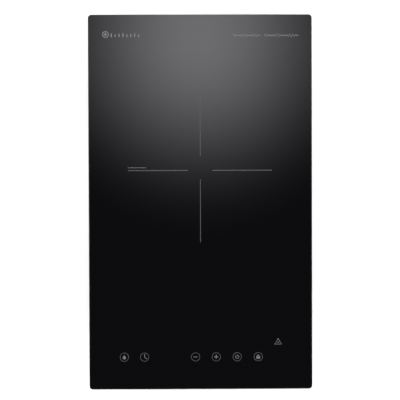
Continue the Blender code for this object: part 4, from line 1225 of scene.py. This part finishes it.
def make_wheel():
    """The turning wheel: a hub cup, a disc, and a ring of forward-curved blades."""
    radius, count = WHEEL.size.x / 2, 20
    hub = [(0, 24), (1.2, 24), (1.5, 23.7), (1.5, 8), (11.5, 8), (11.5, 19.4), (12, 20), (35.6, 20)]
    hub += [(36, 19.7), (36, 18.8), (35.6, 18.5), (14, 18.5), (13.5, 18), (13.5, 7.2), (12.6, 6.1)]
    hub += [(11.8, 6), (0, 6)]
    blade = arc((radius - 7.5, 7.5), 7.95, -80, 4, 10) + arc((radius - 7.5, 7.5), 6.9, 4, -80, 10)
    blades = [plate("blade", [blade], 4.6, 19, AT_FAN @ spin(360 * k / count)) for k in range(count)]
    rim = [(radius, 5.2), (radius, 4.3), (radius - 0.3, 4), (radius - 2.2, 4), (radius - 2.5, 4.3)]
    rim += [(radius - 2.5, 5.5), (radius - 0.3, 5.5)]
    wheel = turned("wheel", hub, 96, place=AT_FAN)
    wheel = join(wheel, merged("blades", blades), turned("rim", rim, 96, True, AT_FAN))
    keep(wheel, "wheel", "fan_wheel", "black_plastic", "fan_rotor")


# ---------------------------------------------------------------------------- electronics


def pins(name, places, bottom, top, radius=0.45):
    """Round pins as separate solids, kept together as one piece."""
    made = [plate("pin", [circle(x, y, radius, 12)], bottom, top) for x, y in places]
    fixed(merged(name, made), "tin", "plated_steel")


def make_board(name, node, holes=()):
    board = Extent(node)
    outlines = [rectangle(board.middle.x, board.middle.y, board.size.x, board.size.y)]
    outlines += [circle(*hole, 1.7, 24) for hole in holes]
    made = eased(plate(name, outlines, board.low.z, board.high.z), 0.1, 1)
    fixed(made, "board", "circuit_board", node)


def make_boards():
    """Both circuit boards, and the tray and the holder that they are fixed to."""
    low, high, inset = Extent("power_board").low, Extent("power_board").high, 5
    posts = [(x, y) for x in (low.x + inset, high.x - inset) for y in (low.y + inset, high.y - inset)]
    make_board("power_circuit", "power_board", posts)
    screw = [(0, 1.8), (1.3, 1.75), (2.3, 1.3), (2.8, 0.5), (2.8, 0), (1.4, 0), (1.4, -5), (0, -5.6)]
    for k, post in enumerate(posts, 1):
        small_screw(f"power_screw_{k}", at(*post, POWER_SEAT), screw, 30, 0.9)
    make_board("touch_circuit", "control_board")
    stake = [(0, 1.4), (1.4, 1.3), (2.1, 0.7), (2.3, 0), (0, 0)]
    for side, side_name in SIDES.items():
        for end, end_name in ENDS.items():
            place = at(side * 119, -214 + end * 15, TOUCH_SEAT)
            made = turned(f"touch_stake_{side_name}_{end_name}", stake, 24, place=place)
            fixed(made, "black", "black_plastic")
    dress("board_tray", "black", 0.3)
    dress("control_holder", "black", 0.3)


def make_heatsink():
    """The extruded sink: nine fins with rounded tips on a base, standing over the power devices."""
    node = Extent("heatsink")
    near, far, foot = node.low.y, node.high.y, node.low.z
    fins, fin, base, leg, root = 9, 1.6, 4, 3, 0.6
    under = Extent("igbt").high.z + 0.3
    floor, pitch = under + base + root, (node.size.y - fin) / (fins - 1)
    outline = [(near, foot), (near + leg, foot), (near + leg, under)]
    outline += [(far - leg, under), (far - leg, foot), (far, foot)]
    for i in reversed(range(fins)):
        left = near + i * pitch
        outline += arc((left + fin / 2, node.high.z - fin / 2), fin / 2, 0, 180, 8)
        if i:
            outline += arc((left - root, floor), root, 0, -90, 4)
            outline += arc((left - pitch + fin + root, floor), root, -90, -180, 4)
    sink = plate("sink", [outline], -node.size.x / 2, node.size.x / 2, along_x(node.middle.x))
    fixed(eased(sink, 0.12, 1), "extrusion", "aluminium", "heatsink")


def power_device(name, node, legs):
    """A moulded power package with its tinned legs bent down to the board."""
    device = Extent(node)
    low, high = device.low, device.high
    end, foot = high.y - 4.6, low.z
    dimple = plate("dimple", [circle(device.middle.x, low.y + 4, 1.8)], high.z - 1.2, high.z + 1)
    body = box(name, low, (high.x, end, high.z), 0.45)
    fixed(cut(body, dimple), "epoxy", "chip_epoxy", node)
    path = [(end - 1, foot + 1.6), (end + 2.2, foot + 1.6), (end + 4, foot - 0.6), (end + 4, foot - 2.2)]
    pitch = device.size.x / legs
    made = [bent_sheet("leg", path, 0.6, 0.7, 1.3, along_x(low.x + (k + 0.5) * pitch)) for k in range(legs)]
    fixed(merged(name + "_legs", made), "tin", "plated_steel")


def potted_capacitor(name, node, look):
    """A potted box capacitor: a moulded case with feet, and its leads into the board."""
    case = Extent(node)
    low, high, y = case.low, case.high, case.middle.y
    left, right = low.x + 3.5, high.x - 3.5
    relief = box("relief", (left, low.y + 2, low.z - 1), (right, high.y - 2, low.z + 0.8))
    fixed(cut(box(name, low, high, 1.1, 4), relief), look, look, node)
    pins(name + "_leads", [(left + 2, y), (right - 2, y)], low.z - 0.28, low.z + 1)


def make_choke():
    """A ring core with two windings of enamelled wire, one on each side."""
    node = Extent("filter_choke")
    middle, outer, inner, wire, soft = node.middle, node.size.x / 2, 7, 0.85, 1
    centre, half, tall = (outer + inner) / 2, (outer - inner) / 2 - wire, node.size.z / 2 - wire
    profile = []
    for x, z in ((1, 1), (1, -1), (-1, -1), (-1, 1)):
        side = (centre + x * (half - wire), z * (tall - wire - soft))
        face = (centre + x * (half - wire - soft), z * (tall - wire))
        profile += [side, face] if x * z < 0 else [face, side]
    fixed(turned("choke_core", profile, 64, True, Matrix.Translation(middle)), "ferrite", "ferrite")
    windings, turns, per_turn, spread = [], 12, 32, 150
    for start in (15, 195):
        points = []
        for i in range(turns * per_turn + 1):
            angle, around = math.radians(start + spread * i / (turns * per_turn)), TAU * i / per_turn
            out, up = (math.copysign(abs(c) ** 0.5, c) for c in (math.cos(around), math.sin(around)))
            radius = centre + half * out
            points.append(middle + Vector((radius * math.cos(angle), radius * math.sin(angle), tall * up)))
        windings.append(tube("winding", points, wire, 2))
    fixed(merged("choke_windings", windings), "copper", "litz_copper", "filter_choke")


def electrolytic(name, x, y, radius, height):
    """A can capacitor: a sleeved can, rolled at the bottom, with a scored aluminium top."""
    place = at(x, y, POWER_TOP + 0.05)
    rolled, bead, bore = radius - 0.35, radius - 0.3, radius - 1.2
    can = [(radius - 0.5, height), (radius, height - 0.5), (radius, 2.4), (rolled, 2), (rolled, 1.6)]
    can += [(radius, 1.2), (radius, 0.3), (bead, 0), (bore, 0), (bore, height)]
    fixed(turned(name, can, 48, True, place), "sleeve_film", "black_plastic")
    top = [(0, height - 0.25), (bore - 0.1, height - 0.25), (bore - 0.1, 0.3), (0, 0.3)]
    top = turned(name + "_top", top, 40, place=place)
    top = slotted(top, (20, 110), 0.75 * radius, 0.2, height - 0.55, height + 1, place)
    fixed(top, "extrusion", "aluminium")


def chip(name, x, y, width, depth, z, legs):
    """A gull-wing package: a moulded body with a corner dot, and legs along both long sides."""
    body = block(name, x, y, width / 2, depth / 2, z + 0.25, z + 1.9, 0.2)
    dot = plate("dot", [circle(x - width / 2 + 1, y - depth / 2 + 1, 0.4, 16)], z + 1.7, z + 3)
    fixed(cut(body, dot), "epoxy", "chip_epoxy")
    made, pitch, edge = [], width / legs, depth / 2
    bends = ((edge - 0.4, 1.1), (edge + 0.6, 1.1), (edge + 0.9, 0.16), (edge + 1.7, 0.16))
    for end in ENDS:
        path = [(y + end * out, z + up) for out, up in bends]
        for k in range(legs):
            made.append(bent_sheet("leg", path, 0.22, 0.25, 0.45, along_x(x - width / 2 + (k + 0.5) * pitch)))
    fixed(merged(name + "_legs", made), "tin", "plated_steel")


def chip_parts(name, places, z, size):
    """Small two-ended parts: a ceramic middle between soldered ends."""
    half, deep, tall = size[0] / 2, size[1] / 2, size[2]
    z += SKIN
    solids = []
    for x, y in places:
        solids.append(painted(block("middle", x, y, half * 0.7, deep, z, z + tall, 0.05, 1), "epoxy"))
        for side in SIDES:
            cap = block("cap", x + side * half * 0.93, y, half * 0.22, deep, z, z + tall * 1.08, 0.12)
            solids.append(painted(cap, "tin"))
    fixed(merged(name, solids), "", "chip_epoxy")


def axial(name, x, y, length, radius, look, turn=0):
    """A lying two-ended part: a waisted body on legs bent down into the board."""
    place = at(x, y, POWER_TOP + radius + 0.3) @ spin(turn)
    half = length / 2
    reach, drop = half + 1.6, -radius - 0.2
    profile = [(0, half), (0.7 * radius, half), (radius, half - 0.4 * radius), (radius, half - 1.2 * radius)]
    profile += [(0.86 * radius, half - 1.7 * radius)]
    profile += [(r, -h) for r, h in profile[::-1]]
    body = turned(name, profile, 28, place=place @ Matrix.Rotation(math.pi / 2, 4, "Y"))
    fixed(body, look, "chip_epoxy")
    path = [(-reach, 0, drop), (-reach, 0, -0.4), (-reach + 0.5, 0, 0), (0, 0, 0)]
    path += [(-x, y, z) for x, y, z in path[2::-1]]
    fixed(tube(name + "_legs", [place @ Vector(p) for p in path], 0.32, 2), "tin", "plated_steel")


def plugged(name, x, y, ways=2, pitch=2.5):
    """A moulded pin header with its plug pushed in, which has a latch and a wire way over each pin."""
    z = POWER_SEAT
    half, deep, tall, wall = ways * pitch / 2 + 1.2, 2.9, 6, 0.8
    shell = block(name, x, y, half, deep, z, z + tall, 0.25)
    well = block("well", x, y, half - wall, deep - wall, z + 1.5, z + tall + 1)
    fixed(cut(shell, well), "connector", "white_plastic")
    places = [(x + (k - (ways - 1) / 2) * pitch, y) for k in range(ways)]
    pins(name + "_pins", places, z + 1.4, z + tall - 0.9, 0.32)
    half, deep = ways * pitch / 2 + 0.25, 1.95
    body = block(name + "_head", x, y, half, deep, z + 5.3, z + 8, 0.3)
    latch = box("latch", (x - 1.2, y - deep - 1.1, z + 6.2), (x + 1.2, y, z + 7.6), 0.25)
    wire_ways = plate("ways", [circle(*place, 0.95, 20) for place in places], z + 6, z + 9)
    fixed(cut(join(body, latch), wire_ways), "connector", "white_plastic")


def make_supply_block(name, x, y):
    """The clamp block that takes the harness from behind, with three slotted screws in its top."""
    z = POWER_SEAT
    rear, tall, screw_y = y + 4.8, 8.6, y - 1.6
    body = box(name, (x - 5.6, y - 4, z), (x + 5.6, rear, z + tall), 0.35)
    entry = [(0, 3.2), (3.45, 3.2), (3.45, -3.2), (0, -3.2)]
    entry = turned("entry", entry, 40, place=facing((0, 1, 0), (x, rear + 1, 15.5)))
    places = [x + k * 3.4 for k in (-1, 0, 1)]
    wells = plate("wells", [circle(p, screw_y, 1.45, 24) for p in places], z + tall - 1.2, z + tall + 1)
    fixed(cut(body, entry, wells), "connector", "white_plastic")
    profile = [(0, 1), (1.1, 1), (1.3, 0.8), (1.3, 0.05), (0, 0.05)]
    for k, p in enumerate(places):
        place = at(p, screw_y, z + tall - 1.2)
        screw = turned(f"{name}_screw_{k + 1}", profile, 24, place=place)
        screw = slotted(screw, [math.degrees(0.6 + 0.9 * k)], 2, 0.22, 0.5, 2, place)
        fixed(screw, "screw", "plated_steel")


def make_relay(name, x, y):
    z, tall = POWER_SEAT, 15.5
    vent = plate("vent", [circle(x + 6, y + 4.5, 0.9, 20)], z + tall - 0.5, z + tall + 1)
    fixed(cut(block(name, x, y, 9.5, 7.5, z, z + tall, 0.7, 3), vent), "relay", "black_plastic")


def make_transformer(name, x, y):
    """A small ferrite transformer: a bobbin flange, its core and its taped windings."""
    z = POWER_SEAT
    fixed(block(name + "_bobbin", x, y, 8, 7.5, z, z + 3.4, 0.4), "black", "black_plastic")
    fixed(block(name + "_core", x, y, 7.2, 3.2, z + 3.5, z + 15, 0.5), "ferrite", "ferrite")
    for end in ENDS:
        tape = block(f"{name}_tape_{ENDS[end]}", x, y + end * 4.95, 5.4, 1.65, z + 3.6, z + 14, 1.4, 4)
        fixed(tape, "tape", "white_plastic")


def make_varistor(name, x, y):
    """A lacquered disc standing on two wires."""
    profile = [(0, 1.7), (3.8, 1.6), (4.7, 1), (5, 0), (4.7, -1), (3.8, -1.6), (0, -1.7)]
    disc = turned(name, profile, 40, place=facing((0, 1, 0), (x, y, POWER_TOP + 7)))
    fixed(disc, "lacquer", "film_capacitor")
    pins(name + "_leads", [(x - 3.5, y), (x + 3.5, y)], POWER_SEAT, POWER_TOP + 4, 0.35)


def make_fuse(name, x, y):
    """A sleeved fuse lying between two spring clips."""
    z = POWER_TOP + 4.4
    lie = at(x, y, z) @ Matrix.Rotation(math.pi / 2, 4, "Y")
    fixed(turned(name, [(0, 7), (2.1, 7), (2.1, -7), (0, -7)], 32, place=lie), "sleeve", "glass_sleeve")
    cap = [(0, 10), (2.3, 10), (2.6, 9.6), (2.6, 7.1), (0, 7.1)]
    path = [(y - 3.1, z + 1.6), (y - 2.95, z), (y - 1.6, z - 3.1), (y - 1.6, z - 4.35)]
    path += [(2 * y - a, b) for a, b in path[::-1]]
    for side, side_name in SIDES.items():
        turn = lie if side > 0 else lie @ Matrix.Rotation(math.pi, 4, "X")
        fixed(turned(f"{name}_cap_{side_name}", cap, 32, place=turn), "tin", "plated_steel")
        clip = bent_sheet(f"{name}_clip_{side_name}", path, 0.4, 0.5, 3, along_x(x + side * 8.6))
        fixed(clip, "tin", "plated_steel")


def grid(x, y, step_x, step_y, count_x, count_y=1):
    return [(x + step_x * i, y + step_y * j) for i in range(count_x) for j in range(count_y)]


def make_power_circuit():
    """What stands on the power board."""
    power_device("switch_transistor", "igbt", 3)
    power_device("rectifier", "bridge_rectifier", 4)
    potted_capacitor("tank_capacitor", "resonant_capacitor", "film_capacitor")
    potted_capacitor("supply_capacitor", "smoothing_capacitor", "box_capacitor")
    make_choke()
    make_relay("fan_relay", 28, -100)
    make_transformer("supply_transformer", 4, -102)
    electrolytic("filter_can_1", -13.5, -100, 4.5, 14)
    electrolytic("filter_can_2", 118, -162, 4, 12)
    electrolytic("filter_can_3", 87, -117, 3.2, 11)
    make_varistor("surge_disc", 50, -76)
    make_fuse("supply_fuse", 74, -71)
    make_supply_block("supply_block", -11, -86)
    plugged("fan_plug", *FAN_PLUG)
    plugged("thermistor_plug", *THERMISTOR_PLUG)
    chip("gate_driver", 100, -73, 5, 4, POWER_TOP, 4)
    chip("supply_chip", 86, -162, 6, 4.4, POWER_TOP, 4)
    for k in range(3):
        axial(f"resistor_{k + 1}", 9 + 9 * k, -84, 6.2, 1.1, "resistor", 90)
    axial("diode_1", 114, -117, 7, 1.8, "epoxy")
    places = grid(110, -78, 4.6, 3.2, 3, 3) + grid(84, -170, 4.6, 0, 2) + grid(58, -82.6, 4.2, 0, 6)
    chip_parts("power_chip_parts", places, POWER_TOP, (2.0, 1.25, 0.6))


def make_controls():
    """What stands on the touch board: display, springs, buzzer, processor and small parts."""
    display = Extent("display_module")
    x, y, top, rim, edge = display.middle.x, display.middle.y, display.high.z, 2.4, 0.15
    half_x, half_y = display.size.x / 2 - rim, display.size.y / 2 - rim
    recess = block("recess", x, y, half_x, half_y, top - 0.9, top + 1)
    case = box("display_case", display.low, display.high, 0.5)
    fixed(cut(case, recess), "black", "chip_epoxy", "display_module")
    lens = block("display_lens", x, y, half_x - edge, half_y - edge, top - 0.85, top - 0.1, 0.15)
    fixed(lens, "lens", "chip_epoxy")
    for k in range(1, 7):
        node = f"touch_spring_{k}"
        x, y, _ = Extent(node).middle
        fixed(spring(f"key_spring_{k}", node, 0.35, 4.8), "wire", "spring_steel", node)
        pad = plate(f"key_pad_{k}", [circle(x, y, 5.9), circle(x, y, 4.2)], TOUCH_SEAT, TOUCH_TOP + 0.2)
        fixed(pad, "tin", "plated_steel")
        lamp = block(f"key_lamp_{k}", x, -205, 0.9, 0.6, TOUCH_TOP, TOUCH_TOP + 0.7, 0.15)
        fixed(lamp, "connector", "white_plastic")
    profile = [(1.1, 6.4), (1.4, 6.8), (5, 6.8), (5.5, 6.3), (5.5, 0.3), (5.2, 0), (0.9, 0), (0.9, 6.4)]
    buzzer = turned("buzzer", profile, 48, True, at(-92.4, -215.5, TOUCH_TOP + 0.05))
    fixed(buzzer, "black", "black_plastic")
    chip("touch_chip", 35.9, -215.5, 9, 6, TOUCH_TOP, 8)
    chip("display_driver", -14.5, -203, 6, 4, TOUCH_TOP, 5)
    places = grid(60, -219, 3.4, 3, 3, 3) + grid(4, -211.5, 3.6, 0, 3) + grid(4, -219, 3.6, 0, 3)
    chip_parts("touch_chip_parts", places, TOUCH_TOP, (1.6, 0.8, 0.5))


def make_ribbon():
    """The flat cable: a ridged ribbon folded down between two latched plugs."""
    cable = Extent("ribbon_cable")
    middle, cores, pitch = cable.middle.x, 12, 1.27
    path = [(-200, 43), (-196, 44.1), (-192, 43.2), (-189.6, 39), (-188, 30), (-185, 22), (-180.5, 18)]
    path.append((-175, 16.8))
    line = smooth_route([(y, z, 0) for y, z in path], 1.5)
    places = [middle + (k - (cores - 1) / 2) * pitch for k in range(cores)]
    strips = [tube("core", [(x, p.x, p.y) for p in line], pitch * 0.46, 2) for x in places]
    thin = [tuple(p.xy) for p in line[::2] + line[-1:]]
    web = bent_sheet("web", thin, 0.35, 0.2, (cores - 0.4) * pitch, along_x(middle))
    fixed(merged("flat_cable", [*strips, web]), "ribbon", "ribbon", "ribbon_cable")
    for name, z, y, top in (("upper", TOUCH_TOP, -200.5, cable.high.z), ("lower", POWER_TOP, -175, 18.5)):
        plug = block(f"ribbon_plug_{name}", middle, y, 9, 2.45, z + 0.05, top, 0.4)
        wells_x = [middle + (k - 2.5) * 2.54 for k in range(6)]
        wells = [block("well", x, y - 2.3, 0.5, 0.7, top - 1.4, top + 1) for x in wells_x]
        fixed(cut(plug, *wells), "connector", "white_plastic")


# ---------------------------------------------------------------------------- the mains inlet


def make_terminals():
    """The terminal block: a moulded body with wire ways, brass-coloured clamps and slotted screws."""
    node = Extent("terminal_block")
    low, high, y, pitch = node.low, node.high, node.middle.y, 12.5
    places = [node.middle.x + i * pitch for i in (-1, 0, 1)]
    cutters, deep = [], node.size.y / 2
    for x in places:
        cutters.append(block("way", x, y, 3, deep + 5, 10, 15))
        cutters.append(plate("screw_way", [circle(x, y, 2.6, 32)], 12, high.z + 2))
        if x < places[-1]:
            cutters.append(block("groove", x + pitch / 2, y, 0.6, deep + 1, high.z - 2.5, high.z + 1))
    body = box("terminal_body", low, high, 0.5)
    fixed(cut(body, *cutters), "connector", "white_plastic", "terminal_block")
    profile = [(0, 19), (2, 19), (2.4, 18.5), (2.4, 16.5), (1.9, 16.3), (1.9, 13.2), (0, 13)]
    for k, x in enumerate(places, 1):
        screw = turned(f"terminal_screw_{k}", profile, 28, place=at(x, y))
        fixed(slotted(screw, [40 * k - 55], 3, 0.35, 17.9, 21, at(x, y)), "screw", "plated_steel")
        fixed(block(f"terminal_strip_{k}", x, y, 2.8, 5, 10.2, 11, 0.2), "brass", "plated_steel")


def make_terminal_cover():
    """The snap-on hood over the terminals: a folded shell with a ribbed roof."""
    node = Extent("terminal_cover")
    wall, middle, foot, roof = 1.5, node.middle, node.low.z, node.high.z
    half = node.size.x / 2 - wall / 2
    path = [(-half, foot), (-half, roof - wall / 2), (half, roof - wall / 2), (half, foot)]
    hood = bent_sheet("terminal_hood", path, wall, 2, node.size.y, along_y(middle.x, 0, middle.y))
    grooves = []
    for x in (middle.x + i * 4.6 for i in range(-4, 5)):
        outline = slot_outline(x, middle.y, node.size.y - 8, 1.6)
        grooves.append(plate("groove", [outline], roof - 0.5, roof + 1))
    fixed(eased(cut(hood, *grooves), 0.25), "black", "black_plastic", "terminal_cover")


def make_harness():
    """Three insulated cores twisted together along the case's left side, held by ties."""
    route = [(-95, 190.5, 12.5), (-97, 176, 11), (-112, 160, 9), (-124, 140, 8), (-126, 100, 7.5)]
    route += [(-126, 40, 7.5), (-126, -20, 7.5), (-120, -48, 8), (-96, -60, 8), (-60, -61, 8)]
    route += [(-35, -60, 8.5), (-24, -62, 14), (-17, -68, 18.5), (-12, -76, 17.5), (-11, -82, 15.5)]
    line = smooth_route(route, 2)
    travelled, spun, side = 0, [], Vector((0, 0, 1))
    for before, here, after in zip(line[:1] + line, line, line[1:] + line[-1:]):
        ahead = (after - before).normalized()
        side = (side - ahead * side.dot(ahead)).normalized()
        travelled += (here - before).length
        spun.append((here, side.copy(), ahead.cross(side), travelled))
    core, lay = 1.36, 42
    for k, look in enumerate(("brown", "blue", "earth")):
        points = []
        for here, side, other, along in spun:
            angle = TAU * (along / lay + k / 3)
            points.append(here + (side * math.cos(angle) + other * math.sin(angle)) * core * 1.17)
        replaced = () if k else ("mains_harness",)
        fixed(tube(f"harness_core_{look}", points, core), look, "black_plastic", *replaced)
    band = [(2.98, 1.1), (2.98, -1.1), (2.78, -1.2), (2.66, -1.2), (2.66, 1.2), (2.78, 1.2)]
    for k, share in enumerate((0.12, 0.3, 0.45, 0.6, 0.78), 1):
        here, side, other, _ = spun[round(share * (len(spun) - 1))]
        tie = turned(f"harness_tie_{k}", band, 40, True, facing(side.cross(other), here))
        fixed(tie, "tie", "white_plastic")


# ---------------------------------------------------------------------------- camera, light and floor
# These are in metres.


def make_camera():
    data = bpy.data.cameras.new("camera")
    data.lens, data.sensor_width, data.clip_end = 100.2, 36, 50
    camera = object_of("camera", data)
    camera.location = (-0.0109, 0.0282, 1.6)
    camera.rotation_euler = [math.radians(a) for a in (-0.925, -0.386, -0.191)]
    bpy.context.scene.camera = camera


def sheet(name, size):
    bm = bmesh.new()
    bmesh.ops.create_grid(bm, x_segments=1, y_segments=1, size=size)
    made = from_bmesh(name, bm)
    return made


def make_floor():
    floor = sheet("floor", 6)
    floor.location.z = -0.0002
    floor.data.materials.append(studio_floor())


def make_softbox():
    """A dark ceiling panel with a glow that fades from its middle. The plate mirrors it."""
    middle, glow_radii, falloff, power = Vector((0.0124, 0.484, 2.0)), (0.712, 0.745), 5.2, 3.68
    panel = sheet("softbox", 1)
    panel.location, panel.rotation_euler.x, panel.scale = middle, math.pi, (0.8, 1.15, 1)
    material = bpy.data.materials.new("softbox")
    material.use_nodes = True
    material.node_tree.nodes.clear()
    f = Nodes(material.node_tree)
    offset = f.vector("SUBTRACT", f.node("NewGeometry", "Position"), tuple(middle))
    scaled = f.vector("MULTIPLY", offset, (1 / glow_radii[0], 1 / glow_radii[1], 1))
    share = f.vector("LENGTH", scaled)
    left = f.math("MAXIMUM", f.math("SUBTRACT", 1.0, f.times(share, share)), 0.0)
    strength = f.times(f.math("POWER", left, falloff), power)
    glow = f.node("Emission", "Emission", {"Color": (0.99, 0.99, 1.035), "Strength": strength})
    output = f.tree.nodes.new("ShaderNodeOutputMaterial")
    f.fill(output.inputs["Surface"], glow)
    panel.data.materials.append(material)


def make_lights():
    """Large soft lights all round, high enough to miss the plate's mirror view."""
    for name, place, power in (
        ("left_light", (-1.5, 0.1, 1.7), 34),
        ("right_light", (1.5, 0.1, 1.7), 34),
        ("front_light", (0.1, -1.7, 1.6), 28),
        ("rear_light", (-0.1, 1.9, 1.6), 24),
    ):
        data = bpy.data.lights.new(name, "AREA")
        data.shape, data.size, data.energy = "SQUARE", 1.3, power
        light = object_of(name, data)
        light.location = place
        light.rotation_euler = Vector(place).to_track_quat("Z", "Y").to_euler()


def make_world():
    """A plain studio: bright near the horizon, dimmer overhead."""
    world = bpy.data.worlds.new("studio")
    bpy.context.scene.world = world
    world.use_nodes = True
    world.node_tree.nodes.clear()
    f = Nodes(world.node_tree)
    up = f.node("SeparateXYZ", "Z", {"Vector": f.node("TexCoord", "Generated")})
    level = f.between(up, 0.85, 0.25, 0.0, 0.75)
    shade = f.node("Background", "Background", {"Color": (1, 1, 1), "Strength": level})
    output = f.tree.nodes.new("ShaderNodeOutputWorld")
    f.fill(output.inputs["Surface"], shade)


def main():
    bpy.context.scene.view_settings.view_transform = "Standard"
    dress("adhesive_bead", "bead")
    dress("glass_frame", "black", 0.25)
    for make in (
        make_camera, make_floor, make_softbox, make_lights, make_world,
        make_glass, make_zone_cross, make_key_marks, make_corner_marks, make_triangle_mark,
        make_rim_seal, make_base_pan, make_case_fixings, make_bush,
        make_bridge, make_coil_springs, make_carrier, make_windings, make_ferrites, make_mica,
        make_leads, make_sensor, make_fan, make_motor, make_wheel, make_boards, make_heatsink,
        make_power_circuit, make_controls, make_ribbon, make_terminals, make_terminal_cover, make_harness,
    ):
        make()


main()
